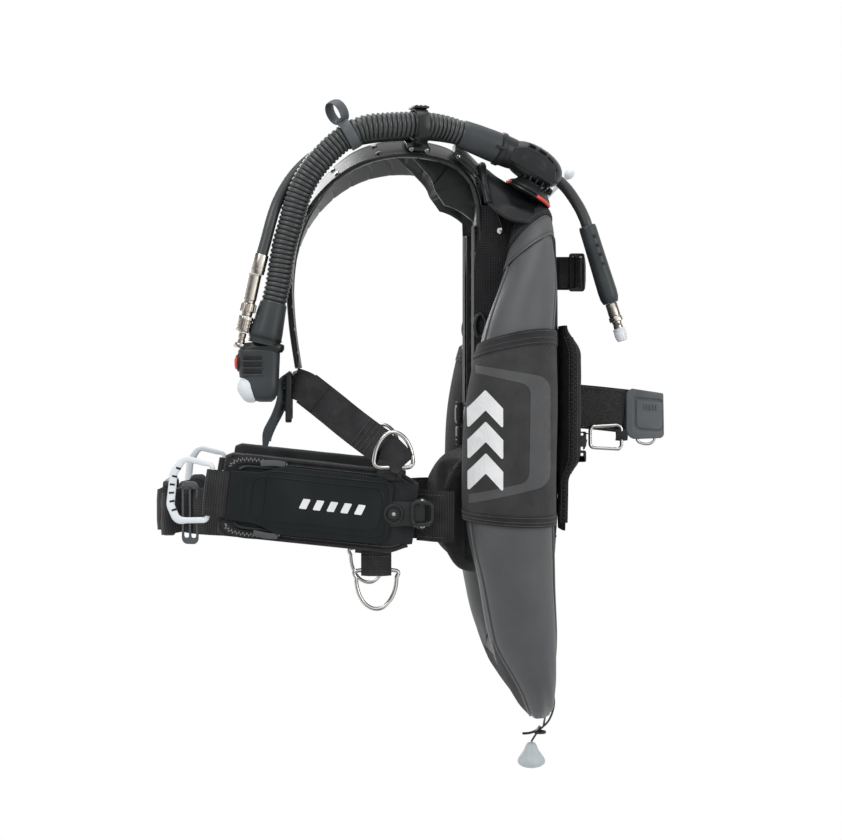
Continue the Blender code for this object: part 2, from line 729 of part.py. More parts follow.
def make_pull_handle(label, side, frame):
    """The rounded ring that the diver pulls to drop the weights; it turns about its rear bar."""
    half = HANDLE_HEIGHT / 2
    reach = HANDLE_LENGTH - 2 * HANDLE_RADIUS
    corners = ((0, -half + 4), (0, half - 4), (-reach + 8, half), (-reach, half - 16),
               (-reach, -half + 16), (-reach + 8, -half))
    ring = [(side * 13, HANDLE_PIVOT + y, z) for y, z in rounded(corners, 7)]
    tube(f"pull_handle_{label}", ring, HANDLE_RADIUS, "pale_plastic", closed=True, parent=frame,
         origin=(side * 13, HANDLE_PIVOT, 0))


def make_lower_ring(label, side):
    x, y, z = LOWER_RING_PIVOT
    drop = [(side * x, y - 22 * math.cos(a), z - 8 - 34 * math.sin(a))
            for a in (math.pi * k / 12 for k in range(13))]
    bar = [(side * x, y + 21, z), (side * x, y - 21, z)]
    tube(f"lower_d_ring_{label}", drop + bar, RING_WIRE, "stainless", closed=True,
         origin=(side * x, y, z))


def make_accessory_loop(label, side):
    x, y, z = ACCESSORY_PIVOT
    corners = rounded(((0, -13), (0, 13), (22, 11), (22, -11)), 6)
    loop = [(side * x, y + along, z + up) for along, up in corners]
    tube(f"accessory_loop_{label}", loop, RING_WIRE, "black_plastic", closed=True,
         origin=(side * x, y, z))


def make_weight_pockets():
    for label, side in SIDES:
        frame = pocket_frame(label, side)
        make_holster(label, side, frame)
        make_pouch(label, side, frame)
        make_flap(label, side, frame)
        make_pull_handle(label, side, frame)
        make_lower_ring(label, side)
        make_accessory_loop(label, side)


# ---------------------------------------------------------------- inflator and hoses

def make_elbow():
    up = Vector((0, -math.sin(ELBOW_LEAN), math.cos(ELBOW_LEAN)))
    foot = Vector(ELBOW_FOOT)
    turned("elbow_base", ((0, ELBOW_NECK), (20, ELBOW_NECK), (20, 8), (24, 7), (24, 3), (28, 3), (28, 0), (0, 0)),
           foot, up, "black_plastic", steps=20)
    bpy.ops.mesh.primitive_uv_sphere_add(segments=20, ring_count=12, radius=1, location=mm(*ELBOW_CENTRE))
    housing = bpy.context.object
    housing.name = "elbow_housing"
    housing.data.transform(Matrix.Diagonal((30 * MM, 36 * MM, 21 * MM, 1)))
    housing.rotation_euler = (ELBOW_LEAN, 0, 0)
    place(housing, "black_plastic")
    start, end = Vector((84, -58, 288)), Vector(HOSE_ROUTE[0])
    axis = (end - start).normalized()
    socket_end = start + axis * 26
    fuse(housing, cylinder("elbow_socket", start + axis * 13, 18, 26, axis, "black_plastic", sides=20))
    neck_room = cylinder("neck_room", foot + up * (ELBOW_NECK + GAP - 40), 60, 80, up, "black_plastic", sides=20)
    cut(housing, neck_room)
    length = (end - socket_end).length
    turned("hose_cuff_upper", ((0, length - 2 * GAP), (15, length - 2 * GAP), (16.5, length - 8), (17.5, GAP), (0, GAP)),
           socket_end, axis, "grey_plastic", steps=20)


def make_hoses():
    tube("corrugated_hose", smooth_route(HOSE_ROUTE, 20), HOSE_RADIUS, "hose_rubber", resolution=4)
    top, bottom = Vector(SLEEVE_TOP), Vector(SLEEVE_BOTTOM)
    straight = [top.lerp(bottom, share) for share in (-0.06, 0, 0.5, 1)]
    route = list(SUPPLY_ROUTE) + straight
    tube("supply_hose", smooth_route(route, 20), SUPPLY_RADIUS, "hose_rubber", resolution=2)


def make_inflator():
    x, y, z = INFLATOR_CENTRE
    body = box("inflator_body", (x - 16, y - 23, 12), (x + 16, y + 23, 70), "black_plastic", bevel=7, segments=2)
    inflate_axis = Vector((0, -1, 0))
    deflate_axis = Vector((0, -1, -0.7)).normalized()
    inflate_at = Vector((x, y - 23, 56))
    deflate_at = Vector((x, y - 19.5, 22))
    cut(body,
        cylinder("inflate_recess", inflate_at, 8.2, 20, inflate_axis, "black_plastic"),
        cylinder("deflate_recess", deflate_at, 11.2, 16, deflate_axis, "black_plastic", sides=20))
    turned("inflate_button", ((0, 4), (6, 4), (7.5, 2.5), (7.5, -6), (0, -6)),
           inflate_at, inflate_axis, "red_plastic")
    turned("deflate_button", ((0, 8), (8, 8), (10.5, 5.5), (10.5, -2), (0, -2)),
           deflate_at, deflate_axis, "pale_plastic", steps=20)
    top, foot = Vector(HOSE_ROUTE[-1]), Vector((128, -342, 75.5))
    length = (top - foot).length
    turned("hose_cuff_lower", ((0, length - 2 * GAP), (14.2, length - 2 * GAP), (14.6, 12), (14, 0), (0, 0)),
           foot, top - foot, "grey_plastic", steps=20)


def make_quick_connect():
    base = Vector(CONNECTOR_BASE)
    turned("quick_connect_nipple", ((0, 18), (4.5, 18), (4.5, 6), (6, 5), (6, 0.8), (0, 0.8)),
           base, CONNECTOR_AXIS, "stainless")
    turned("quick_connect_socket",
           ((0, 83.5), (7, 83.5), (7.4, 48), (8.4, 46), (8.4, 41), (6, 41), (6, 18.4), (0, 18.4)),
           base, CONNECTOR_AXIS, "stainless")
    turned("quick_connect_sleeve", ((8, 17), (8.4, 14), (8.4, 3), (8, 0), (6.5, 0), (6.5, 17)),
           base + CONNECTOR_AXIS * 19, CONNECTOR_AXIS, "stainless", hollow=True)


def make_supply_end():
    top, bottom = Vector(SLEEVE_TOP), Vector(SLEEVE_BOTTOM)
    axis = (bottom - top).normalized()
    length = (bottom - top).length
    turned("hose_sleeve", ((8.5, length), (10, length - 8), (10, 8), (8.5, 0), (7.2, 0), (7.2, length)),
           top, axis, "grey_plastic", hollow=True)
    turned("supply_fitting",
           ((0, 34), (5, 34), (5, 22), (7.2, 22), (7.2, 14), (6.2, 12), (6.6, GAP), (0, GAP)),
           bottom, axis, "stainless")
    turned("dust_cap", ((0, 23), (5.5, 22), (7.5, 18), (7.5, 0), (5.5, 0), (5.5, 13), (0, 13)),
           bottom + axis * 22.4, axis, "clear_cap")


def hose_band(name, at, along, radius, width, finish):
    """A clip ring round a hose."""
    return turned(
        name, ((radius + 2.6, width / 2), (radius + 2.6, -width / 2), (radius, -width / 2), (radius, width / 2)),
        at, along, finish, steps=20, hollow=True)


def make_hose_clips():
    clip_radius = HOSE_RADIUS + 1.2
    points = smooth_route(HOSE_ROUTE, 5)
    for name, y in (("hose_ring_strap", -247), ("hose_clip", -170)):
        nearest = min(range(1, len(points) - 1), key=lambda i: abs(points[i].y - y) + (points[i].z < 250) * 999)
        at = points[nearest]
        along = (points[nearest + 1] - points[nearest - 1]).normalized()
        ring = hose_band(name, at, along, clip_radius, 14, "black_plastic")
        up = (Z_AXIS - along * along.z).normalized()
        if name == "hose_ring_strap":
            bpy.ops.mesh.primitive_torus_add(
                major_segments=16, minor_segments=8, major_radius=0.010, minor_radius=0.003,
                location=(at + up * (clip_radius + 11)) * MM)
            eye = bpy.context.object
            eye.name = "strap_eye"
            face_along(eye, along.cross(up) * 0.7 + along * 0.7)
            fuse(ring, place(eye, "black_plastic"))
        else:
            tab = box("clip_tab", (at.x - 18.6, at.y - 6, 300.5), (at.x - 16.2, at.y + 6, at.z - 6), "black_plastic")
            fuse(ring, tab)


# ---------------------------------------------------------------- dump valves

def make_lower_dump():
    """The rear lower dump valve, its pull cord and its knob."""
    valve_axis = Y_AXIS
    turned("dump_valve_body", ((0, 7), (14, 7), (19, 5), (21, 0), (0, 0)), (DUMP_X, -19.5, -296),
           valve_axis, "black_plastic", steps=20)
    x, y, z = KNOB_TOP
    route = ((x, -14, -318.4), (x, -13, -336), (x, -19, -353), (x, -31, -365), (x, y, z))
    tube("dump_pull_cord", smooth_route(route, 5), 1.2, "hose_rubber", resolution=2, origin=KNOB_TOP)
    turned("dump_knob", ((0, 0), (5, -1), (7, -6), (14, -26), (11, -30), (0, -30)),
           (x, y, z - 1), Z_AXIS, "pale_plastic", steps=8)


def make_shoulder_dump():
    """The right shoulder's dump valve, with its knob on a stem that pulls out of it."""
    base, tip = Vector((-50, -22, 240)), Vector((-50, 21, 285))
    axis = (tip - base).normalized()
    valve = turned("shoulder_dump_valve", ((0, 9), (12, 9), (17, 6), (18, 0), (0, 0)), base, axis,
                   "black_plastic", steps=20)
    cut(valve, cylinder("stem_bore", base, 3.4, 60, axis, "black_plastic", sides=12))
    reach = (tip - base).length
    turned("shoulder_dump_knob", ((0, reach + 6), (6, reach + 4), (8, reach - 4), (6, reach - 10), (2.6, reach - 12),
                                  (2.6, 2), (0, 2)), base, axis, "pale_plastic", steps=12)


# ---------------------------------------------------------------- build

clear_scene()
PARTS = make_collection("buoyancy_compensator_vest")
TOOLS = make_collection("cutters")

make_backplate()
make_tank_seat()
make_padding()
make_air_cell()
make_wing_panels()
make_rear_bolsters()
make_carry_handle()
make_tank_band()
make_band_buckle()
make_upper_tank_strap()
make_shoulder_straps()
make_shoulder_buckles()
make_shoulder_webbing()
make_upper_rings()
make_waist_belts()
make_waist_buckle()
make_weight_pockets()
make_elbow()
make_hoses()
make_inflator()
make_quick_connect()
make_supply_end()
make_hose_clips()
make_lower_dump()
make_shoulder_dump()
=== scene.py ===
"""Looks for the buoyancy compensator vest: soft goods, hoses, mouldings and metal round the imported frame.

Figures are millimetres and mm() turns them into metres. +Z is up, -Y is the way the wearer faces,
+X is the wearer's left. Everything is built in place and rides on a body of the frame.
"""

import math

import bmesh
import bpy
from mathutils import Matrix, Vector, noise
from mathutils.bvhtree import BVHTree


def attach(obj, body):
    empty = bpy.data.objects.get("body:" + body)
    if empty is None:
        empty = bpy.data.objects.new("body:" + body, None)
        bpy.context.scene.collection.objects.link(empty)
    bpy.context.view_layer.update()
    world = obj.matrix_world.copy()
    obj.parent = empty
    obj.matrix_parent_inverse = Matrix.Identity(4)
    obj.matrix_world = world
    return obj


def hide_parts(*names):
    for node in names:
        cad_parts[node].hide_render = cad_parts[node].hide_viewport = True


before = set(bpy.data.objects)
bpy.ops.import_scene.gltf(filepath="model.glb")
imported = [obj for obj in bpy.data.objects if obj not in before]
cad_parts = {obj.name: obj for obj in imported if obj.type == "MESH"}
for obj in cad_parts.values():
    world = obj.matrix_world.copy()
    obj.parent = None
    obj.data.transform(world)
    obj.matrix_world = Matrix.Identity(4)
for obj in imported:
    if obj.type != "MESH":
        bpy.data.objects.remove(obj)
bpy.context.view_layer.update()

MM = 0.001
SIDES = (("left", 1), ("right", -1))
EDGES = (("upper", 1), ("lower", -1))
X_AXIS, Y_AXIS, Z_AXIS = Vector((1, 0, 0)), Vector((0, 1, 0)), Vector((0, 0, 1))
ROOT = "harness"

# Camera: the direction it looks from, its distance from its target and its lens
CAMERA_AZIMUTH, CAMERA_ELEVATION = math.radians(87.0), math.radians(1.25)
CAMERA_DISTANCE = 2.51
CAMERA_TARGET = Vector((0, -0.162, -0.0105))
CAMERA_LENS = 92.2
FLOOR_Z, FLOOR_HALF_WIDTH = -440.0, 1500.0

# Air cell stations from top to bottom of the left half, as in the solid: x, z, half width outward,
# y of the middle, half depth, rearward lean of the outer edge
CELL_STATIONS = (
    (0, 210, 22, -46, 19, 0.30),
    (45, 212, 24, -46, 21, 0.40),
    (88, 194, 30, -43, 21, 0.25),
    (121, 140, 40, -50, 31, 0.05),
    (138, 88, 45, -62, 39, 0.0),
    (146, 14, 49, -70, 47, 0.0),
    (148, -58, 50, -73, 49, 0.0),
    (146, -122, 49, -72, 48, 0.0),
    (140, -184, 48, -64, 42, 0.0),
    (126, -246, 46, -57, 37, 0.15),
    (98, -296, 45, -50, 26, 0.36),
    (48, -305, 45, -47, 20, 0.48),
    (0, -307, 44, -46, 19, 0.5),
)
BOTTOM_STATION = len(CELL_STATIONS) - 1
PANEL_TOP_STATION, PANEL_BOTTOM_STATION = 4, 7

# Cords, as their solids run: the same points
HOSE_ROUTE = (
    (100, -119, 310), (106, -143, 317), (116, -170, 319), (125, -207, 317), (128, -233, 313),
    (128, -257, 300), (128, -279, 279), (128, -295, 257), (128, -305, 234), (128, -312, 208),
    (128, -318, 188), (128, -322, 168), (128, -326, 143), (128, -332, 117),
)
SLEEVE_TOP, SLEEVE_BOTTOM = Vector((53, 25, 212)), Vector((57, 52, 124))
SUPPLY_ROUTE = (
    (130, -349, 154), (130, -344, 173), (129, -339, 191), (128, -334, 210), (124, -328, 229),
    (117, -319, 248), (109, -306, 267), (101, -288, 284), (96, -262, 297), (93, -228, 306),
    (90, -190, 310), (82, -152, 311), (66, -118, 307), (46, -86, 299), (36, -52, 289),
    (38, -22, 276), (44, 0, 258), (49, 15, 236), (52, 22, 221),
) + tuple(tuple(SLEEVE_TOP.lerp(SLEEVE_BOTTOM, share)) for share in (-0.06, 0, 0.5, 1))
HOSE_RADIUS, SUPPLY_RADIUS = 14.0, 6.5
KNOB_TOP = (60, -39, -377)
DUMP_ROUTE = ((60, -14, -318.4), (60, -13, -336), (60, -19, -353), (60, -31, -365), KNOB_TOP)
CORRUGATION_PITCH = 5.2

BELT_Z = -113.0


# ---------------------------------------------------------------- points and meshes

def mm(x, y, z):
    return Vector((x, y, z)) * MM


def smooth_route(route, step, closed=False):
    """Points about a step apart along a smooth curve through the route's points, all in millimetres."""
    knots = [Vector(point) for point in route]
    count = len(knots)
    fine = []
    for i in range(count if closed else count - 1):
        if closed:
            a, b, c, d = (knots[(i + k) % count] for k in (-1, 0, 1, 2))
        else:
            a, b, c, d = (knots[min(max(i + k, 0), count - 1)] for k in (-1, 0, 1, 2))
        for j in range(12):
            fine.append(spline(a, b, c, d, j / 12))
    fine.append(knots[0] if closed else knots[-1])
    return resampled(fine, step, closed)


def spline(a, b, c, d, t):
    """The smooth curve between b and c, a and d being the points beyond them."""
    return 0.5 * (
        2 * b + (c - a) * t + (2 * a - 5 * b + 4 * c - d) * t ** 2 + (3 * b - a - 3 * c + d) * t ** 3)


def resampled(points, step, closed=False):
    """The same line with evenly spaced points."""
    reach = [0.0]
    for before, after in zip(points, points[1:]):
        reach.append(reach[-1] + (after - before).length)
    count = max(2, round(reach[-1] / step))
    even = []
    i = 0
    for k in range(count if closed else count + 1):
        wanted = reach[-1] * k / count
        while i < len(reach) - 2 and reach[i + 1] < wanted:
            i += 1
        share = (wanted - reach[i]) / max(reach[i + 1] - reach[i], 1e-9)
        even.append(points[i].lerp(points[i + 1], min(share, 1.0)))
    return even


def length_of(points):
    return sum((after - before).length for before, after in zip(points, points[1:]))


def smoothstep(low, high, value):
    t = min(max((value - low) / (high - low), 0.0), 1.0)
    return t * t * (3 - 2 * t)


def between(ends, share):
    return ends[0] + (ends[1] - ends[0]) * share


def bump_at(value, centre, width):
    """A smooth hump, 1 at its centre and 0 well beyond its width."""
    return math.exp(-((value - centre) / width) ** 2)


def bulged(value, power):
    """A sine or cosine raised to a power, its sign kept: it squares off a round section."""
    return math.copysign(abs(value) ** power, value)


def turns(count):
    """Evenly spaced angles, once round."""
    return [math.tau * k / count for k in range(count)]


def ellipse(centre, across, up, count):
    """Points round an ellipse given by its centre and its two half axes."""
    return [centre + across * math.cos(a) + up * math.sin(a) for a in turns(count)]


def show(obj, finish, body=ROOT, slot=None, replaces=(), angle=40):
    """Gives a piece its finish, its shading and the body that it rides on."""
    obj.data.materials.clear()
    obj.data.materials.append(MATERIALS[finish])
    if obj.type == "MESH":
        obj.data.shade_smooth()
        obj.data.set_sharp_from_angle(angle=math.radians(angle))
    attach(obj, body)
    slot or SLOTS.get(finish, "black_plastic")
    if replaces:
        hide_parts(*replaces)
    return obj


def linked(name, data):
    obj = bpy.data.objects.new(name, data)
    bpy.context.scene.collection.objects.link(obj)
    return obj


def mesh_from(name, work):
    """An object from a bmesh whose points are in millimetres."""
    bmesh.ops.scale(work, vec=(MM, MM, MM), verts=work.verts)
    mesh = bpy.data.meshes.new(name)
    work.to_mesh(mesh)
    work.free()
    return linked(name, mesh)


def evaluated(obj):
    """The mesh that an object comes to, its modifiers or its curve worked out."""
    bpy.context.view_layer.update()
    return bpy.data.meshes.new_from_object(obj.evaluated_get(bpy.context.evaluated_depsgraph_get()))


def thickened(obj, thickness):
    """Gives a surface its thickness, inwards from its face, and applies it."""
    solid = obj.modifiers.new("thickness", "SOLIDIFY")
    solid.thickness = thickness * MM
    solid.offset = -1
    mesh = evaluated(obj)
    obj.modifiers.clear()
    flat, obj.data = obj.data, mesh
    bpy.data.meshes.remove(flat)
    return obj


def skin(name, rows, closed_along=False):
    """A closed surface through rings of points, with a map in metres along and round it for the weaves."""
    work = bmesh.new()
    layer = work.loops.layers.uv.new("weave")
    loops = [[work.verts.new(Vector(point)) for point in row] for row in rows]
    count = len(loops[0])
    across = [0.0]
    middle = rows[len(rows) // 2]
    for i in range(count):
        across.append(across[-1] + (Vector(middle[(i + 1) % count]) - Vector(middle[i])).length * MM)
    along = [0.0]
    for k in range(len(rows)):
        following = rows[(k + 1) % len(rows)]
        along.append(along[-1] + (centre_of(following) - centre_of(rows[k])).length * MM)
    for k in range(len(rows) if closed_along else len(rows) - 1):
        upper, lower = loops[k], loops[(k + 1) % len(rows)]
        for i in range(count):
            j = (i + 1) % count
            face = work.faces.new((upper[i], upper[j], lower[j], lower[i]))
            marks = ((along[k], across[i]), (along[k], across[i + 1]),
                     (along[k + 1], across[i + 1]), (along[k + 1], across[i]))
            for corner, mark in zip(face.loops, marks):
                corner[layer].uv = mark
    if not closed_along:
        for loop in (loops[0], loops[-1]):
            work.faces.new(loop)
    bmesh.ops.recalc_face_normals(work, faces=work.faces)
    return mesh_from(name, work)


def centre_of(points):
    total = Vector((0, 0, 0))
    for point in points:
        total += Vector(point)
    return total / len(points)


def tangents(points, closed=False):
    """The direction of travel at each point."""
    count = len(points)
    found = []
    for i in range(count):
        before = points[(i - 1) % count] if closed else points[max(i - 1, 0)]
        after = points[(i + 1) % count] if closed else points[min(i + 1, count - 1)]
        found.append((after - before).normalized())
    return found


STRAP_SIDES = 4


def strap(name, points, across, width, thickness, closed=False, crown=0.0):
    """Webbing along the points: a flat section with rounded selvedges, wide along across.

    width may be one figure or a list; crown lifts the middle of the outer face."""
    rows = []
    directions = tangents(points, closed)
    for i, (point, forward) in enumerate(zip(points, directions)):
        side = Vector(across[i]) if isinstance(across, list) else Vector(across)
        side = (side - forward * side.dot(forward)).normalized()
        face = forward.cross(side).normalized()
        half = (width[i] if isinstance(width, list) else width) / 2
        row = []
        for sign in (1, -1):
            for k in range(STRAP_SIDES + 1):
                share = 1 - 2 * k / STRAP_SIDES
                edge = 1 - 0.75 * abs(share) ** 6
                lift = crown * (1 - share ** 2) if sign > 0 else 0
                row.append(point + side * half * share * sign + face * (sign * thickness / 2 * edge + lift))
        rows.append(row)
    return skin(name, rows, closed_along=closed)


def rod(name, points, radius, sides=10, closed=False):
    """A round rod, wire, piping or cord; radius may be a list."""
    rows = []
    directions = tangents(points, closed)
    side = directions[0].orthogonal().normalized()
    for i, (point, forward) in enumerate(zip(points, directions)):
        side = (side - forward * side.dot(forward)).normalized()
        other = forward.cross(side)
        r = radius[i] if isinstance(radius, list) else radius
        rows.append(ellipse(point, side * r, other * r, sides))
    return skin(name, rows, closed_along=closed)


def turned(name, profile, base, axis, steps=32, ripple=None):
    """A turned piece from (radius, height) pairs; ripple(angle, height) scales the radius for knurls."""
    axis = Vector(axis).normalized()
    turn = Z_AXIS.rotation_difference(axis).to_matrix()
    work = bmesh.new()
    rings = []
    for radius, height in profile:
        if radius < 1e-6:
            rings.append([work.verts.new(Vector(base) + turn @ Vector((0, 0, height)))])
            continue
        ring = []
        for k in range(steps):
            angle = math.tau * k / steps
            r = radius * (ripple(angle, height) if ripple else 1)
            point = turn @ Vector((r * math.cos(angle), r * math.sin(angle), height))
            ring.append(work.verts.new(Vector(base) + point))
        rings.append(ring)
    for upper, lower in zip(rings, rings[1:]):
        for k in range(steps):
            j = (k + 1) % steps
            corners = [upper[k % len(upper)], upper[j % len(upper)], lower[j % len(lower)],
                       lower[k % len(lower)]]
            unique = list(dict.fromkeys(corners))
            if len(unique) > 2:
                work.faces.new(unique)
    for ring in (rings[0], rings[-1]):
        if len(ring) > 1 and (profile[0] != profile[-1]):
            work.faces.new(ring)
    bmesh.ops.remove_doubles(work, verts=work.verts, dist=0.001)
    bmesh.ops.recalc_face_normals(work, faces=work.faces)
    return mesh_from(name, work)


def hoop(name, profile, *place, **more):
    """A turned ring, its profile closed on itself."""
    return turned(name, (*profile, profile[0]), *place, **more)


def block(name, size, centre=(0, 0, 0), rotation=None, bevel=1.0):
    """A block with rounded edges, about its centre; rotation is a matrix."""
    work = bmesh.new()
    bmesh.ops.create_cube(work, size=1)
    bmesh.ops.scale(work, vec=size, verts=work.verts)
    if bevel:
        bmesh.ops.bevel(work, geom=list(work.edges), offset=min(bevel, min(size) * 0.49), segments=3,
                        profile=0.5, affect="EDGES")
    move = Matrix.Translation(Vector(centre))
    if rotation is not None:
        move = move @ rotation.to_4x4()
    bmesh.ops.transform(work, matrix=move, verts=work.verts)
    return mesh_from(name, work)


def rounded(corners, radius, steps=5):
    """An outline with each corner turned by an arc; radius may be a list."""
    outline = []
    count = len(corners)
    for i, corner in enumerate(corners):
        r = radius[i] if isinstance(radius, (list, tuple)) else radius
        here = Vector(corner)
        to_last = (Vector(corners[i - 1]) - here).normalized()
        to_next = (Vector(corners[(i + 1) % count]) - here).normalized()
        half = math.acos(max(-1, min(1, to_last.dot(to_next)))) / 2
        middle = here + (to_last + to_next).normalized() * (r / math.sin(half))
        start = here + to_last * (r / math.tan(half)) - middle
        turn = start.angle_signed(here + to_next * (r / math.tan(half)) - middle)
        for k in range(steps + 1):
            outline.append(middle + Matrix.Rotation(-turn * k / steps, 2) @ start)
    return outline


def oblong(left, low, right, high, radius, steps=5):
    """A rectangle with rounded corners."""
    return rounded(((left, low), (right, low), (right, high), (left, high)), radius, steps)


def filled(name, loops, extrude=0.0):
    """The area inside flat outlines as a bmesh, a slab where extrude is more than 0."""
    curve = bpy.data.curves.new(name, "CURVE")
    curve.dimensions = "2D"
    curve.fill_mode = "BOTH"
    curve.extrude = extrude
    for loop in loops:
        line = curve.splines.new("POLY")
        line.points.add(len(loop) - 1)
        for point, corner in zip(line.points, loop):
            point.co = (corner[0], corner[1], 0, 1)
        line.use_cyclic_u = True
    drawn = linked(name + "_outline", curve)
    mesh = evaluated(drawn)
    bpy.data.objects.remove(drawn, do_unlink=True)
    work = bmesh.new()
    work.from_mesh(mesh)
    bpy.data.meshes.remove(mesh)
    bmesh.ops.remove_doubles(work, verts=work.verts, dist=0.01)
    return work


def moulding(name, outline, thickness, frame_at, bevel=1.0, holes=()):
    """A flat moulding with rounded edges: outline in its own plane, placed by frame_at(u, v, w).

    Holes are outlines too."""
    work = filled(name, (outline, *holes), thickness / 2)
    bmesh.ops.dissolve_limit(work, angle_limit=0.01, verts=work.verts, edges=work.edges)
    if bevel:
        rims = [e for e in work.edges if e.calc_face_angle(0) > math.radians(50)
                and abs(e.verts[0].co.z - e.verts[1].co.z) < 0.01]
        bmesh.ops.bevel(work, geom=rims, offset=bevel, segments=3, profile=0.5, affect="EDGES")
    for vert in work.verts:
        vert.co = frame_at(*vert.co)
    bmesh.ops.recalc_face_normals(work, faces=work.faces)
    return mesh_from(name, work)


def joined(name, pieces):
    """One object from several."""
    work = bmesh.new()
    for piece in pieces:
        work.from_mesh(piece.data)
        bpy.data.objects.remove(piece, do_unlink=True)
    mesh = bpy.data.meshes.new(name)
    work.to_mesh(mesh)
    work.free()
    return linked(name, mesh)


def stitches(name, points, normal, pitch=3.4, length=2.3, radius=0.38):
    """A seam's thread: one short raised stitch after another along the points."""
    work = bmesh.new()
    line = resampled([Vector(p) for p in points], pitch)
    for start, end in zip(line, line[1:]):
        forward = (end - start).normalized()
        lift = Vector(normal).normalized()
        side = forward.cross(lift).normalized()
        rings = []
        for share, rise in ((0.0, -0.25), (0.25, 0.25), (0.75, 0.25), (1.0, -0.25)):
            centre = start + forward * length * share + lift * rise
            rings.append([
                work.verts.new(centre + (side * math.cos(a) + lift * math.sin(a)) * radius)
                for a in turns(5)])
        for upper, lower in zip(rings, rings[1:]):
            for k in range(5):
                j = (k + 1) % 5
                work.faces.new((upper[k], upper[j], lower[j], lower[k]))
        for ring in (rings[0], rings[-1]):
            work.faces.new(ring)
    bmesh.ops.recalc_face_normals(work, faces=work.faces)
    return mesh_from(name, work)


def sew(name, points, normal, **gauge):
    return show(stitches(name, points, normal, **gauge), "thread_black")


# ---------------------------------------------------------------- materials

MATERIALS = {}
SLOTS = {}


class Nodes:
    """Builds one material's nodes."""

    def __init__(self, name, slot):
        self.material = bpy.data.materials.new(name)
        self.material.use_nodes = True
        self.tree = self.material.node_tree
        self.shader = self.tree.nodes["Principled BSDF"]
        MATERIALS[name] = self.material
        SLOTS[name] = slot

    def add(self, kind, **values):
        node = self.tree.nodes.new(kind)
        for key, value in values.items():
            if key in node.inputs:
                node.inputs[key].default_value = value
            else:
                setattr(node, key, value)
        return node

    def link(self, source, target):
        self.tree.links.new(source, target)

    def place(self, scale=1.0):
        """Coordinates in the object's own space, in metres times scale."""
        coords = self.add("ShaderNodeTexCoord")
        mapping = self.add("ShaderNodeMapping", Scale=(scale, scale, scale))
        self.link(coords.outputs["Object"], mapping.inputs["Vector"])
        return mapping.outputs["Vector"]

    def noise(self, scale, detail=4.0, roughness=0.55):
        node = self.add("ShaderNodeTexNoise", Scale=scale, Detail=detail, Roughness=roughness)
        self.link(self.place(), node.inputs["Vector"])
        return node.outputs["Fac"]

    def ramp(self, source, low, high, low_value=0.0, high_value=1.0):
        node = self.add("ShaderNodeMapRange")
        for key, value in (("From Min", low), ("From Max", high), ("To Min", low_value),
                           ("To Max", high_value)):
            node.inputs[key].default_value = value
        self.link(source, node.inputs["Value"])
        return node.outputs["Result"]

    def math(self, operation, a, b=None):
        node = self.add("ShaderNodeMath", operation=operation)
        for socket, value in zip(node.inputs, (a, b)):
            if value is None:
                continue
            if isinstance(value, (int, float)):
                socket.default_value = value
            else:
                self.link(value, socket)
        return node.outputs[0]

    def colours(self, source, dark, light):
        node = self.add("ShaderNodeMix", data_type="RGBA")
        node.inputs["A"].default_value = (*dark, 1)
        node.inputs["B"].default_value = (*light, 1)
        self.link(source, node.inputs["Factor"])
        self.link(node.outputs["Result"], self.shader.inputs["Base Color"])

    def mapped(self, pitch_along, pitch_across):
        """Sines along and across the weave map, with those pitches in metres."""
        mark = self.add("ShaderNodeUVMap", uv_map="weave")
        apart = self.add("ShaderNodeSeparateXYZ")
        self.link(mark.outputs["UV"], apart.inputs["Vector"])
        along = self.math("SINE", self.math("MULTIPLY", apart.outputs["X"], math.tau / pitch_along))
        across = self.math("SINE", self.math("MULTIPLY", apart.outputs["Y"], math.tau / pitch_across))
        return along, across

    def threads(self, pitch):
        """A plain weave in the object's own space, the same on faces that point any way."""
        apart = self.add("ShaderNodeSeparateXYZ")
        self.link(self.place(math.tau / pitch), apart.inputs["Vector"])
        waves = [self.math("SINE", apart.outputs[axis]) for axis in "XYZ"]
        pairs = [self.math("MULTIPLY", waves[i], waves[(i + 1) % 3]) for i in range(3)]
        return self.math("ADD", self.math("ADD", pairs[0], pairs[1]), pairs[2])

    def bump(self, source, depth, strength=1.0, after=None):
        node = self.add("ShaderNodeBump", Strength=strength, Distance=depth)
        self.link(source, node.inputs["Height"])
        if after is not None:
            self.link(after, node.inputs["Normal"])
        self.link(node.outputs["Normal"], self.shader.inputs["Normal"])
        return node.outputs["Normal"]

    def set(self, **values):
        names = {"roughness": "Roughness", "metallic": "Metallic", "sheen": "Sheen Weight",
                 "sheen_roughness": "Sheen Roughness", "coat": "Coat Weight",
                 "coat_roughness": "Coat Roughness", "specular": "Specular IOR Level",
                 "transmission": "Transmission Weight"}
        for key, value in values.items():
            self.shader.inputs[names[key]].default_value = value

    def vary_roughness(self, source, low, high):
        self.link(self.ramp(source, 0.3, 0.7, low, high), self.shader.inputs["Roughness"])


def make_coated_fabric():
    """Dark grey coated cloth: a fine weave under a satin film, with faint scuffs."""
    n = Nodes("coated_fabric", "coated_fabric")
    scuffs = n.noise(18, 6)
    n.colours(n.ramp(scuffs, 0.35, 0.7), (0.052, 0.055, 0.057), (0.066, 0.069, 0.071))
    first = n.bump(n.threads(0.0011), 0.00006, 0.5)
    n.bump(n.noise(60, 5), 0.0006, 0.35, after=first)
    n.vary_roughness(scuffs, 0.40, 0.56)
    n.set(sheen=0.03, sheen_roughness=0.4, specular=0.30)


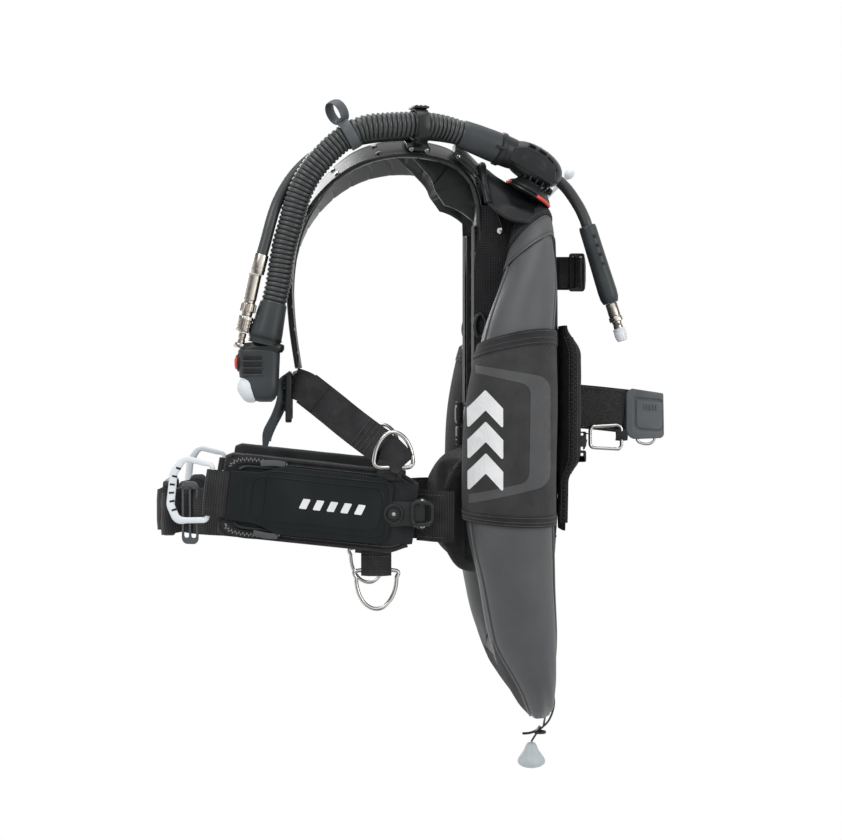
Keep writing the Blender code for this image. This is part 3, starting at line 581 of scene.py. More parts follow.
def make_cloth(name, slot, dark, light, pitch, depth, sheen=0.25, roughness=0.85):
    """Woven cloth with a weave in the object's own space."""
    n = Nodes(name, slot)
    n.colours(n.ramp(n.noise(40, 5), 0.3, 0.75), dark, light)
    first = n.bump(n.threads(pitch), depth, 0.8)
    n.bump(n.noise(90, 4), 0.0005, 0.4, after=first)
    n.set(roughness=roughness, sheen=sheen, sheen_roughness=0.5, specular=0.18)


def make_webbing(name, slot, dark, light, along, across, depth):
    """Webbing: ribs that follow the strap by its own map."""
    n = Nodes(name, slot)
    ribs, yarns = n.mapped(along, across)
    weave = n.math("MULTIPLY", ribs, n.math("ADD", n.math("MULTIPLY", yarns, 0.5), 0.7))
    worn = n.noise(55, 5)
    n.colours(n.ramp(n.math("ADD", n.math("MULTIPLY", weave, 0.25), worn), 0.3, 0.9), dark, light)
    n.bump(weave, depth, 0.9)
    n.set(roughness=0.72, sheen=0.08, sheen_roughness=0.45, specular=0.18)


def make_pile(name, slot):
    """Loop pile of a hook-and-loop strap: a soft, uneven nap."""
    n = Nodes(name, slot)
    nap = n.noise(900, 3, 0.7)
    n.colours(n.ramp(nap, 0.35, 0.65), (0.003, 0.003, 0.003), (0.050, 0.050, 0.051))
    n.bump(nap, 0.0016, 1.0)
    n.set(roughness=0.95, sheen=0.08, sheen_roughness=0.6, specular=0.12)


def make_moulded(name, slot, dark, light, rough, grain=0.00005, grain_scale=1400, coat=0.0, specular=0.28,
                 transmission=0.0):
    """Moulded plastic or rubber: a fine grain, slight colour drift and rubbed patches."""
    n = Nodes(name, slot)
    drift = n.noise(25, 5)
    n.colours(n.ramp(drift, 0.35, 0.7), dark, light)
    n.bump(n.noise(grain_scale, 3), grain, 0.6)
    n.vary_roughness(drift, rough - 0.05, rough + 0.08)
    n.set(coat=coat, coat_roughness=0.25, specular=specular, transmission=transmission)


def make_hose_rubber():
    """Black rubber with a soft shine, and painted shade: an ambient-occlusion mask darkens the colour deep
    between the corrugations and in other hollows.
    """
    n = Nodes("hose_rubber", "hose_rubber")
    # painted shade: the ambient-occlusion mask darkens the base colour in grooves and hollows
    painted_groove_shade = n.add("ShaderNodeAmbientOcclusion", Distance=0.0022, samples=8)
    n.colours(n.ramp(painted_groove_shade.outputs["AO"], 0.40, 0.90), (0.002, 0.002, 0.002), (0.030, 0.033, 0.034))
    n.bump(n.noise(1400, 3), 0.00004, 0.5)
    n.vary_roughness(n.noise(25, 5), 0.28, 0.38)
    n.set(specular=0.42)


def make_metal(name, slot, colour, rough):
    """Polished metal: hairline rubbing, and painted reflections: light and dark bands in the base colour by
    the way the surface faces.
    """
    n = Nodes(name, slot)
    hair = n.noise(220, 6, 0.7)
    facing = n.add("ShaderNodeNewGeometry")
    apart = n.add("ShaderNodeSeparateXYZ")
    n.link(facing.outputs["Normal"], apart.inputs["Vector"])
    # painted reflection: light and dark colour bands set by the surface normal, mixed with the hairline noise
    reflection_phase = n.math("ADD", n.math("MULTIPLY", apart.outputs["Y"], 5.5),
                   n.math("MULTIPLY", apart.outputs["Z"], 4.0))
    painted_reflection_and_hairlines = n.math("ADD", n.math("MULTIPLY", n.math("SINE", reflection_phase), 0.5), n.math("MULTIPLY", hair, 0.3))
    n.colours(n.ramp(painted_reflection_and_hairlines, -0.35, 0.65), tuple(c * 0.16 for c in colour), colour)
    n.bump(hair, 0.00003, 0.5)
    n.vary_roughness(hair, rough, rough + 0.14)
    n.set(metallic=1.0)


def make_materials():
    make_coated_fabric()
    make_moulded("seam_piping", "coated_fabric", (0.070, 0.072, 0.075), (0.100, 0.103, 0.107), 0.36)
    make_cloth("stretch_cloth", "black_fabric", (0.024, 0.024, 0.025), (0.040, 0.040, 0.041), 0.0010,
               0.00012, 0.06)
    make_cloth("pocket_cloth", "black_fabric", (0.010, 0.011, 0.012), (0.020, 0.021, 0.022), 0.0013,
               0.00018, 0.05)
    make_cloth("bolster_cloth", "black_fabric", (0.009, 0.009, 0.010), (0.018, 0.018, 0.020), 0.0016,
               0.00025, 0.05)
    make_cloth("binding", "black_fabric", (0.012, 0.012, 0.013), (0.022, 0.022, 0.024), 0.0009, 0.00010, 0.08)
    make_cloth("printed_grey", "coated_fabric", (0.052, 0.053, 0.055), (0.066, 0.067, 0.069), 0.0010,
               0.00010, 0.1, 0.6)
    make_cloth("printed_silver", "coated_fabric", (0.560, 0.565, 0.575), (0.660, 0.665, 0.675), 0.0010,
               0.00008, 0.1, 0.38)
    make_cloth("foam_pad", "foam", (0.010, 0.010, 0.011), (0.020, 0.020, 0.022), 0.0030, 0.00060, 0.06, 0.8)
    make_webbing("webbing", "webbing", (0.009, 0.009, 0.010), (0.034, 0.034, 0.036), 0.0016, 0.0030, 0.00022)
    make_webbing("coarse_webbing", "webbing", (0.009, 0.009, 0.010), (0.034, 0.033, 0.033), 0.0028,
                 0.0030, 0.00045)
    make_pile("loop_pile", "webbing")
    make_cloth("thread_black", "webbing", (0.040, 0.040, 0.042), (0.075, 0.075, 0.078), 0.0006, 0.00005,
               0.3, 0.7)
    make_moulded("elastomer", "elastomer", (0.006, 0.007, 0.008), (0.014, 0.015, 0.016), 0.34)
    make_moulded("flap_rubber", "elastomer", (0.004, 0.006, 0.007), (0.008, 0.010, 0.011), 0.36, 0.00004,
                 900, specular=0.16)
    make_moulded("black_plastic", "black_plastic", (0.007, 0.008, 0.008), (0.015, 0.016, 0.017), 0.34)
    make_moulded("cuff_rubber", "grey_plastic", (0.022, 0.026, 0.028), (0.034, 0.038, 0.041), 0.42)
    make_hose_rubber()
    make_moulded("grip_plastic", "grey_plastic", (0.060, 0.068, 0.074), (0.084, 0.092, 0.098), 0.48,
                 0.00010, 700)
    make_moulded("dark_loop", "grey_plastic", (0.045, 0.052, 0.057), (0.065, 0.072, 0.078), 0.42)
    make_moulded("pale_plastic", "pale_plastic", (0.500, 0.535, 0.560), (0.580, 0.615, 0.640), 0.40,
                 0.00003, 900)
    make_moulded("knob_plastic", "pale_plastic", (0.330, 0.370, 0.390), (0.400, 0.440, 0.460), 0.42,
                 0.00003, 900)
    make_moulded("red_plastic", "red_plastic", (0.520, 0.040, 0.022), (0.640, 0.060, 0.030), 0.34,
                 0.00002, 900, 0.2)
    make_moulded("clear_cap", "clear_cap", (0.700, 0.720, 0.760), (0.780, 0.800, 0.840), 0.30, 0.00002,
                 900, 0.3, transmission=0.35)
    make_metal("stainless", "stainless", (0.70, 0.69, 0.67), 0.14)
    make_metal("nickel", "stainless", (0.66, 0.61, 0.55), 0.20)
    make_metal("zip_metal", "stainless", (0.30, 0.30, 0.31), 0.30)


# ---------------------------------------------------------------- camera, light and floor

def make_camera():
    """The camera, on its line of sight from the target."""
    direction = Vector((
        math.sin(CAMERA_AZIMUTH) * math.cos(CAMERA_ELEVATION),
        -math.cos(CAMERA_AZIMUTH) * math.cos(CAMERA_ELEVATION),
        math.sin(CAMERA_ELEVATION)))
    camera = linked("camera", bpy.data.cameras.new("camera"))
    camera.data.lens = CAMERA_LENS
    camera.location = CAMERA_TARGET + direction * CAMERA_DISTANCE
    camera.rotation_euler = direction.to_track_quat("Z", "Y").to_euler()
    bpy.context.scene.camera = camera


LIGHT_AIM = Vector((0, -0.16, 0))


def make_light(name, place_at, size, power):
    """A soft rectangular lamp turned to the vest."""
    data = bpy.data.lights.new(name, "AREA")
    data.shape = "RECTANGLE"
    data.size, data.size_y = size
    data.energy = power
    lamp = linked(name, data)
    lamp.location = place_at
    lamp.rotation_euler = (Vector(place_at) - LIGHT_AIM).to_track_quat("Z", "Y").to_euler()


def make_floor():
    """A plain pale floor below the vest, as bright as the surround."""
    work = bmesh.new()
    bmesh.ops.create_grid(work, x_segments=1, y_segments=1, size=FLOOR_HALF_WIDTH)
    floor = mesh_from("floor", work)
    floor.location.z = FLOOR_Z * MM
    finish = bpy.data.materials.new("floor_white")
    finish.use_nodes = True
    shader = finish.node_tree.nodes["Principled BSDF"]
    shader.inputs["Base Color"].default_value = (0, 0, 0, 1)
    shader.inputs["Specular IOR Level"].default_value = 0
    shader.inputs["Emission Color"].default_value = (1, 1, 1, 1)
    shader.inputs["Emission Strength"].default_value = 1.0
    floor.data.materials.append(finish)


def make_stage():
    """A white surround and floor, and four soft lamps."""
    make_floor()
    world = bpy.data.worlds.new("studio")
    world.use_nodes = True
    sky = world.node_tree.nodes["Background"]
    sky.inputs["Color"].default_value = (1, 1, 1, 1)
    sky.inputs["Strength"].default_value = 1.0
    bpy.context.scene.world = world
    bpy.context.scene.view_settings.view_transform = "Standard"
    make_light("key", (2.0, -1.7, 1.6), (0.9, 1.2), 26)
    make_light("side", (1.6, 2.0, 0.7), (0.7, 1.4), 22)
    make_light("top", (0.1, -0.2, 2.2), (1.4, 1.8), 24)
    make_light("far", (-2.0, -1.2, 1.0), (1.0, 1.4), 20)


# ---------------------------------------------------------------- cords

def tube_curve(name, points, radius, resolution=6):
    """A hose as a curve of one open spline, in metres."""
    curve = bpy.data.curves.new(name, "CURVE")
    curve.dimensions = "3D"
    curve.bevel_depth = radius * MM
    curve.bevel_resolution = resolution
    curve.use_fill_caps = True
    line = curve.splines.new("POLY")
    line.points.add(len(points) - 1)
    for point, spot in zip(line.points, points):
        point.co = (*(Vector(spot) * MM), 1)
    line.use_smooth = True
    return linked(name, curve)


HOSE_SIDES = 28


def corrugated(name, points, low, high, pitch):
    """A hose with round corrugations: its rings swell and pinch along the points."""
    fine = resampled(points, pitch / 8)
    rows = []
    side = X_AXIS
    for i, (point, forward) in enumerate(zip(fine, tangents(fine))):
        side = (side - forward * side.dot(forward)).normalized()
        other = forward.cross(side)
        wave = (0.5 - 0.5 * math.cos(math.tau * (i % 8) / 8)) ** 0.36
        radius = low + (high - low) * wave
        rows.append(ellipse(point, side * radius, other * radius, HOSE_SIDES))
    return skin(name, rows)


def make_cords():
    """The two hoses and the dump cord, each along its own route."""
    hose_points = smooth_route(HOSE_ROUTE, 5)
    hose = corrugated("corrugated_hose_rubber", hose_points, 12.6, HOSE_RADIUS + 0.3, CORRUGATION_PITCH)
    show(hose, "hose_rubber", replaces=["corrugated_hose"], angle=80)
    mm(*HOSE_ROUTE[0])
    length_of(hose_points) * MM
    supply_points = smooth_route(SUPPLY_ROUTE, 5)
    supply = tube_curve("supply_hose_rubber", supply_points, SUPPLY_RADIUS)
    show(supply, "hose_rubber", replaces=["supply_hose"])
    pull_points = smooth_route(DUMP_ROUTE, 2.5)
    pull = tube_curve("dump_cord_line", pull_points, 1.2, resolution=3)
    show(pull, "hose_rubber", body="dump_pull", replaces=["dump_pull_cord"])
    return supply, supply_points, pull, pull_points


# ---------------------------------------------------------------- air cell

def cell_stations():
    right = [(-x, *rest) for x, *rest in reversed(CELL_STATIONS[1:-1])]
    return list(CELL_STATIONS) + right


def cell_frame(t):
    """Centre, outward direction and section sizes at t stations round the cell."""
    stations = cell_stations()
    count = len(stations)
    i = math.floor(t)
    knots = [Vector(stations[(i + k) % count]) for k in (-1, 0, 1, 2)]
    share = t - i
    x, z, width, y, depth, lean = spline(*knots, share)
    near = spline(*knots, min(share + 0.05, 1.0)) - spline(*knots, max(share - 0.05, 0.0))
    outward = Vector((-near[1], 0, near[0])).normalized()
    return Vector((x, y, z)), outward, width, depth, lean


def cell_point(t, angle, offset=0.0):
    """A point on the cell: the angle is 0 at its outer edge and a quarter turn at its rear."""
    centre, outward, width, depth, lean = cell_frame(t)
    out = (width + offset) * math.cos(angle)
    back = (depth + offset) * math.sin(angle) + lean * out
    return centre + outward * out + Y_AXIS * back


def from_top(t):
    """Stations from the top of the cell down either half."""
    return min(t, 2 * BOTTOM_STATION - t)


def cell_wrinkle(t, angle):
    """How far the coated cloth is drawn in or stands out, in millimetres."""
    station = from_top(t)
    side = 1 if t <= BOTTOM_STATION else 7.3
    tip = smoothstep(8.6, 11.0, station)
    top = 1 - smoothstep(1.6, 3.4, station)
    waves = math.sin(5 * angle + 2.1 * station + side) * 0.9 + math.sin(11 * angle - 3.7 * station) * 0.5
    drift = noise.noise(Vector((station * 0.9, math.cos(angle) * 1.6 + side, math.sin(angle) * 1.6))) * 1.7
    return waves * (tip * 1.3 + top * 1.1) + drift * (0.5 + 0.6 * tip)


SEAM_ANGLES = (math.radians(-68), math.radians(76))
GUSSET_TURN = math.radians(40)  # the front seam runs outward by this much round the foot of each lobe
GUSSET_STATIONS = (9.0, 15.0)


def foot_share(t):
    """0 above the foot of a lobe and 1 round the bottom of the cell."""
    return smoothstep(8.9, 10.3, from_top(t))


def seam_angle(seam, t):
    return seam + (GUSSET_TURN * foot_share(t) if seam < 0 else 0.0)


CELL_STEPS = 9
PIPING_STEPS = 6
CELL_SIDES = 72
SEAM_DEPTH, SEAM_WIDTH = 1.6, 0.10


def make_air_cell():
    """The cell: one closed ring of cloth with piping in its two seams."""
    rows = []
    count = len(cell_stations()) * CELL_STEPS
    for i in range(count):
        t = i / CELL_STEPS
        row = []
        for angle in turns(CELL_SIDES):
            dent = SEAM_DEPTH * sum(
                bump_at(wrapped(angle - seam_angle(seam, t)), 0, SEAM_WIDTH) for seam in SEAM_ANGLES)
            row.append(cell_point(t, angle, cell_wrinkle(t, angle) - dent))
        rows.append(row)
    cell = skin("air_cell_shell", rows, closed_along=True)
    show(cell, "coated_fabric", replaces=["air_cell"], angle=80)
    for label, seam in zip(("front", "rear"), SEAM_ANGLES):
        line = []
        for i in range(2 * BOTTOM_STATION * PIPING_STEPS):
            t = i / PIPING_STEPS
            angle = seam_angle(seam, t)
            line.append(cell_point(t, angle, cell_wrinkle(t, angle) - 0.6))
        piping = rod(f"air_cell_seam_{label}", line, 1.5, sides=8, closed=True)
        show(piping, "seam_piping", slot="coated_fabric")
    make_gusset()


def make_gusset():
    """Stretch cloth across the front of each lobe's foot, below the front seam."""
    rows = []
    for i in range(91):
        t = between(GUSSET_STATIONS, i / 90)
        high = seam_angle(SEAM_ANGLES[0], t) - 0.05
        low = high - 0.02 - math.radians(75) * foot_share(t)
        angles = [between((low, high), k / 16) for k in range(17)]
        outer = [cell_point(t, a, cell_wrinkle(t, a) + 0.5) for a in angles]
        inner = [cell_point(t, a, cell_wrinkle(t, a) - 0.9) for a in angles]
        rows.append(outer + inner[::-1])
    show(skin("air_cell_gusset", rows), "stretch_cloth", angle=70)


def wrapped(angle):
    return (angle + math.pi) % math.tau - math.pi


# ---------------------------------------------------------------- side panels

PANEL_REACH = (math.radians(-152), math.radians(108))
PANEL_SLANT_TOP, PANEL_SLANT_BOTTOM = 0.10, 0.05
INK_THICKNESS = 0.35


def panel_point(side, down, across, lift):
    """A point on the stretch panel: down runs 0 to 1 from the top hem, across 0 to 1 from front to rear."""
    angle = between(PANEL_REACH, across)
    top = PANEL_TOP_STATION - PANEL_SLANT_TOP * (math.sin(angle) - 1)
    bottom = PANEL_BOTTOM_STATION + PANEL_SLANT_BOTTOM * (math.sin(angle) - 1)
    point = cell_point(between((top, bottom), down), angle, lift)
    return Vector((side * point.x, point.y, point.z))


def panel_skin(name, side, down_range, across_range, lift, thickness, steps=(60, 80)):
    """A closed strip of the panel's surface between two offsets."""
    rows = []
    for i in range(steps[0] + 1):
        down = between(down_range, i / steps[0])
        outer, inner = [], []
        for k in range(steps[1] + 1):
            across = between(across_range, k / steps[1])
            extra = lift(down, across) if callable(lift) else lift
            outer.append(panel_point(side, down, across, extra))
            inner.append(panel_point(side, down, across, extra - thickness))
        rows.append(outer + inner[::-1])
    return skin(name, rows)


def panel_lift(down, across):
    """The panel stands off the cell, pulled in at its hems."""
    angle = between(PANEL_REACH, across)
    t = between((PANEL_TOP_STATION, PANEL_BOTTOM_STATION), down)
    pulled = 0.5 * (bump_at(down, 0.0, 0.05) + bump_at(down, 1.0, 0.05))
    return 3.2 + max(cell_wrinkle(t, angle), -0.4) * 0.8 - pulled


def make_side_panels():
    """The stretch panels, with hems, three seams in each hem and the rear edge."""
    for label, side in SIDES:
        panel = panel_skin(f"side_panel_{label}", side, (0, 1), (0, 1), panel_lift, 1.8)
        show(panel, "stretch_cloth", replaces=[f"wing_panel_{label}"], angle=70)
        for place_name, low, high in (("top", 0.0, 0.075), ("bottom", 0.935, 1.0)):
            hem = panel_skin(f"side_panel_hem_{place_name}_{label}", side, (low, high), (0, 1),
                             lambda d, a: panel_lift(d, a) + 0.9, 1.2, steps=(6, 80))
            show(hem, "binding", angle=60)
            for number, down in enumerate((low + 0.010, (low + high) / 2 + 0.004, high - 0.010)):
                line = [panel_point(side, down, k / 80, panel_lift(down, k / 80) + 1.0) for k in range(6, 75)]
                sew(f"side_panel_stitch_{place_name}_{number}_{label}", line, X_AXIS * side,
                    pitch=3.0, length=2.1, radius=0.32)
        rear = [panel_point(side, k / 60, 0.985, panel_lift(k / 60, 0.985) + 0.6) for k in range(61)]
        show(rod(f"side_panel_edge_{label}", rear, 1.5, sides=8), "binding")
        make_panel_print(label, side, panel)


def project_outline(name, outline, target, side, lift):
    """A thin printed shape: an outline in fore-and-aft and height, laid onto the target's outer face."""
    work = filled(name, (outline,))
    cut_fine(work, 4.0)
    source = bmesh.new()
    source.from_mesh(target.data)
    tree = BVHTree.FromBMesh(source)
    source.free()
    for vert in work.verts:
        y, z = vert.co.x, vert.co.y
        hit, normal, _, _ = tree.ray_cast(mm(side * 400, y, z), Vector((-side, 0, 0)))
        if hit is None:
            hit, normal, _, _ = tree.find_nearest(mm(side * 190, y, z))
        if normal.x * side < 0:
            normal = -normal
        vert.co = hit / MM + normal * lift
    bmesh.ops.recalc_face_normals(work, faces=work.faces)
    if sum(face.normal.x * face.calc_area() for face in work.faces) * side < 0:
        bmesh.ops.reverse_faces(work, faces=work.faces)
    return thickened(mesh_from(name, work), INK_THICKNESS)


def cut_fine(work, spacing):
    """Cuts a flat mesh along an even grid so that it can follow a curved surface."""
    low = [min(v.co[axis] for v in work.verts) for axis in (0, 1)]
    high = [max(v.co[axis] for v in work.verts) for axis in (0, 1)]
    for axis in (0, 1):
        count = int((high[axis] - low[axis]) / spacing)
        for k in range(1, count + 1):
            where, across = Vector((0, 0, 0)), Vector((0, 0, 0))
            where[axis] = low[axis] + spacing * k
            across[axis] = 1
            bmesh.ops.bisect_plane(work, geom=work.verts[:] + work.edges[:] + work.faces[:],
                                   plane_co=where, plane_no=across)


def make_panel_print(label, side, panel):
    """The printed band that frames the panel's front, and a generic mark of three chevrons."""
    band = rounded(
        ((-119, 54), (-31, 39), (-31, -77), (-119, -97), (-119, -87), (-56, -73), (-54, 31), (-119, 46)),
        (0.5, 17, 18, 0.5, 0.5, 12, 12, 0.5), 8)
    frame_band = project_outline(f"panel_band_{label}", band, panel, side, 0.30)
    show(frame_band, "printed_grey", angle=60)
    for number in range(3):
        z = 4 - 34 * number
        chevron = ((-120, z - 20), (-102, z), (-84, z - 20), (-84, z + 2), (-102, z + 22), (-120, z + 2))
        mark = project_outline(f"panel_mark_{number}_{label}", rounded(chevron, 1.2, 3), panel, side, 0.45)
        show(mark, "printed_silver", angle=60)


# ---------------------------------------------------------------- back

def plane_xz(y):
    """Places an outline drawn in x and z on the plane y, its thickness along Y."""
    return lambda u, v, w: Vector((u, y + w, v))


PLATE_THICKNESS, PLATE_Y = 8, -16
SEAT_HALF_WIDTH, SEAT_FRONT, SEAT_GROOVES, GROOVE_STEPS = 42, -11.6, 14, 8


def make_back():
    """The back plate with its slots and ribs, and the grooved seat that the tank lies on."""
    half = ((62, 200), (84, 130), (90, 0), (84, -120), (58, -168))
    corners = list(half) + [(-x, z) for x, z in reversed(half)]
    slots = []
    for x, z, height in ((52, 7, 60), (28, 160, 44)):
        for side in (1, -1):
            slots.append(oblong(side * x - 6, z - height / 2, side * x + 6, z + height / 2, 3))
    plate = moulding("backplate_shell", rounded(corners, 14, 8), PLATE_THICKNESS, plane_xz(PLATE_Y), 1.6,
                     holes=slots)
    show(plate, "black_plastic", replaces=["backplate"])
    ribs = [block("plate_rib", (120, 2.4, 3), (0, -11.3, z), bevel=0.8) for z in (-110, -126, -142, 112, 126)]
    show(joined("backplate_ribs", ribs), "black_plastic")
    profile = []
    count = SEAT_GROOVES * GROOVE_STEPS
    for k in range(count + 1):
        x = between((-SEAT_HALF_WIDTH, SEAT_HALF_WIDTH), k / count)
        groove = 1.8 * (0.5 - 0.5 * math.cos(math.tau * k / GROOVE_STEPS)) ** 3
        profile.append((x, -groove * (1 - smoothstep(38, 41, abs(x)))))
    rows = []
    for z, rim in ((-95, 1.2), (-94, 0.3), (-92.5, 0), (92.5, 0), (94, 0.3), (95, 1.2)):
        rows.append([(x, y - rim, z) for x, y in profile]
                    + [(SEAT_HALF_WIDTH, SEAT_FRONT, z), (-SEAT_HALF_WIDTH, SEAT_FRONT, z)])
    show(skin("tank_seat_ribs", rows), "elastomer", replaces=["tank_seat"], angle=50)
    make_back_pad()
    make_lumbar_pad()


def pad_section(half_width, front, rear, bulge):
    """A rounded cushion section in x and y, crowned towards the wearer."""
    section = []
    for a in turns(44):
        c, s = math.cos(a), math.sin(a)
        x = half_width * bulged(c, 0.45)
        y = bulged(s, 0.55)
        depth = rear if y > 0 else front - bulge * (1 - (x / half_width) ** 2)
        section.append((x, depth * abs(y)))
    return section


def make_back_pad():
    """The moulded cushion against the spine, with slanted air slots and a ring of raised beads."""
    stations = ((178, 36), (172, 42), (150, 58), (120, 68), (90, 75), (50, 76), (0, 76), (-28, 75),
                (-38, 68), (-40, 60))
    rows = []
    middle, front, rear = -54.0, -25.5, 25.5
    fine = smooth_route([(z, w, 0) for z, w in stations], 5)
    for z, half_width, _ in fine:
        end = min(1.0, 0.72 + 0.28 * smoothstep(0, 14, min(z + 40, 178 - z)))
        channel = 2.6 * sum(bump_at(z, height, 2.6) for height in (128, 60, -2))
        row = []
        for x, y in pad_section(half_width, front * end, rear * end, 1.5):
            spine = 3.2 * bump_at(abs(x), 14, 4) if y < 0 else 0
            pinch = channel * (1 if y < 0 else 0.3)
            row.append((x * (1 - 0.02 * channel / 2.6), middle + y + spine + pinch, z))
        rows.append(row)
    pad = skin("back_cushion", rows)
    show(pad, "foam_pad", replaces=["back_pad"], angle=60)
    slots = []
    for side in (1, -1):
        for number in range(5):
            z = 166 - 10 * number
            low, high = Vector((side * 54, -71, z - 6)), Vector((side * 62, -52, z + 5))
            slots.append(rod("slot", smooth_route((low, low.lerp(high, 0.5) + Vector((side * 3, -2, 0)),
                                                   high), 2), 1.3))
    show(joined("back_pad_air_slots", slots), "binding")
    rings = []
    for side in (1, -1):
        oval = [Vector((side * (40 + 10 * math.cos(a)), -84 + 1.4 * math.cos(a * 2), 109 + 17 * math.sin(a)))
                for a in turns(36)]
        rings.append(rod("oval", oval, 3.2, sides=10, closed=True))
    show(joined("harness_oval_rings", rings), "black_plastic")


LUMBAR_HALF_WIDTH = 150


def lumbar_point(x, rise, depth):
    """A point on the cushion, curved round the waist: rise and depth run from -1 to 1."""
    share = x / LUMBAR_HALF_WIDTH
    y = -98 - 46 * share ** 2
    half_height = 67 * (1 - 0.55 * abs(share) ** 6)
    half_thickness = 6.0 * (1 - 0.4 * share ** 8)
    normal = Vector((92 * share / LUMBAR_HALF_WIDTH, 1, 0)).normalized()
    return Vector((x, y, BELT_Z + rise * half_height)) + normal * depth * half_thickness


def make_lumbar_pad():
    """The curved lumbar cushion, its rim raised and its middle quilted."""
    rows = []
    for k in range(97):
        x = -149 + 298 * k / 96
        row = []
        for a in turns(40):
            rise = bulged(math.sin(a), 0.6)
            depth = bulged(math.cos(a), 0.5)
            edge = max(abs(rise), abs(x) / LUMBAR_HALF_WIDTH)
            rim = 0.55 * bump_at(edge, 0.84, 0.07) - 0.35 * bump_at(edge, 0.72, 0.04)
            quilt = -0.25 * bump_at(math.fmod(abs(x), 37.5), 18.7, 1.6) if edge < 0.7 else 0
            row.append(lumbar_point(x, rise, depth * (0.85 + rim + quilt)))
        rows.append(row)
    pad = skin("lumbar_cushion", rows)
    show(pad, "foam_pad", replaces=["lumbar_pad"], angle=60)
    outline = []
    for a in turns(160):
        x = 148.5 * bulged(math.cos(a), 0.5)
        rise = bulged(math.sin(a), 0.6)
        outline.append(lumbar_point(x, rise, 0))
    show(rod("lumbar_binding", outline, 3.0, sides=8, closed=True), "binding")


# ---------------------------------------------------------------- rear bolsters

BOLSTER_BOTTOM, BOLSTER_TOP, BOLSTER_FRONT = -131, 97, -10.8
BOLSTER_X, BOLSTER_HALF_X = 94, 32


def bolster_rear(z):
    """How far rearward the cover reaches: full beside the band, thin below it, sloped off at the top."""
    low = -6.5 + 1.5 * smoothstep(-131, -80, z)
    return low + 16.5 * smoothstep(-78, -48, z) * (1 - smoothstep(60, 96, z) ** 1.5 * 0.98)


def make_rear_bolsters():
    """The padded rear covers beside the tank, each with a zip along its outer edge and a small buckle."""
    for label, side in SIDES:
        rows = []
        for i in range(61):
            z = between((BOLSTER_BOTTOM, BOLSTER_TOP), i / 60)
            rear = bolster_rear(z)
            half_x = BOLSTER_HALF_X * (0.90 + 0.10 * smoothstep(0, 18,
                                                                min(z - BOLSTER_BOTTOM, BOLSTER_TOP - z)))
            half_y, middle_y = (rear - BOLSTER_FRONT) / 2, (rear + BOLSTER_FRONT) / 2
            row = []
            for a in turns(36):
                x = BOLSTER_X + half_x * bulged(math.cos(a), 0.55)
                ripple = 0.7 * noise.noise(Vector((z * 0.05, math.cos(a), side * 3.0)))
                y = middle_y + (half_y + ripple) * bulged(math.sin(a), 0.7)
                row.append((side * x, y, z))
            rows.append(row)
        bolster = skin(f"rear_cover_{label}", rows)
        show(bolster, "bolster_cloth", replaces=[f"rear_bolster_{label}"], angle=60)
        top, bottom = Vector((side * 127.2, 0, 84)), Vector((side * 127.2, -4, -122))
        track = [top.lerp(bottom, k / 40) for k in range(41)]
        for point in track:
            point.y = (bolster_rear(point.z) + BOLSTER_FRONT) / 2
        tape = strap(f"rear_zip_tape_{label}", track, Y_AXIS, 6, 0.9)
        show(tape, "binding")
        show(zip_teeth(f"rear_zip_teeth_{label}", track, Y_AXIS, X_AXIS * side), "black_plastic")
        for name, offset in (("front", -4.5), ("rear", 4.5)):
            line = [p + Y_AXIS * max(min(offset, (bolster_rear(p.z) - BOLSTER_FRONT) / 2 - 1.6), -4.5)
                    for p in track]
            sew(f"rear_cover_stitch_{name}_{label}", line, X_AXIS * side)
        make_side_release(f"rear_buckle_{label}", Vector((side * 118, 7.0, -38)), Z_AXIS, X_AXIS * side,
                          18, 34)


def zip_teeth(name, points, across, lift, pitch=2.6, width=4.6):
    """Interlocked zip teeth along the points."""
    work = bmesh.new()
    line = resampled([Vector(p) for p in points], pitch)
    across, up = Vector(across).normalized(), Vector(lift).normalized()
    for i, (start, end) in enumerate(zip(line, line[1:])):
        forward = (end - start).normalized()
        side = (across - forward * across.dot(forward)).normalized()
        top = forward.cross(side)
        if top.dot(up) < 0:
            top = -top
        shift = side * (width / 5) * (1 if i % 2 else -1)
        made = bmesh.ops.create_cube(work, size=1)["verts"]
        turn = Matrix((forward, side, top)).transposed()
        for vert in made:
            local = Vector((vert.co.x * pitch * 0.62, vert.co.y * width * 0.8, vert.co.z * 1.7))
            if vert.co.z > 0:
                local.y *= 0.7
            vert.co = start + shift + turn @ local + top * 0.6
    return mesh_from(name, work)


def make_side_release(name, centre, along, outward, width, length):
    """A side-release buckle: a socket, and a plug whose prongs show in its side windows."""
    along, outward = Vector(along).normalized(), Vector(outward).normalized()
    across = along.cross(outward).normalized()
    turn = Matrix((across, along, outward)).transposed()

    def at(u, v, w):
        return centre + turn @ Vector((u, v, w))

    half, reach = width / 2, length / 2
    socket = oblong(-half, 0, half, reach, 1.6, 4)
    window = oblong(-half + 3.4, 3, half - 3.4, reach - 7, 1.5, 4)
    bar = oblong(-half + 3, reach - 4.4, half - 3, reach - 1.6, 0.8, 3)
    pieces = [moulding("socket", socket, 6.4, at, 1.2, holes=(bar,))]
    plug = oblong(-half, -reach, half, -4, 2, 4)
    slots = [oblong(-half + 3, low - reach, half - 3, low + 3 - reach, 0.8, 3) for low in (2, 7)]
    pieces.append(moulding("plug", plug, 5.6, at, 1.2, holes=slots))
    pieces.append(moulding("window", window, 1.2, lambda u, v, w: at(u, v, w + 3.4), 0.5))
    for sign in (1, -1):
        prong = rounded(((sign * (half - 2.4), -4), (sign * half, 2), (sign * (half + 1.2), 8),
                         (sign * (half - 1), 9), (sign * (half - 3.6), -2))[::sign], 0.7, 3)
        pieces.append(moulding("prong", prong, 3.6, at, 0.6))
    return show(joined(name, pieces), "black_plastic")


# ---------------------------------------------------------------- webbing on the back

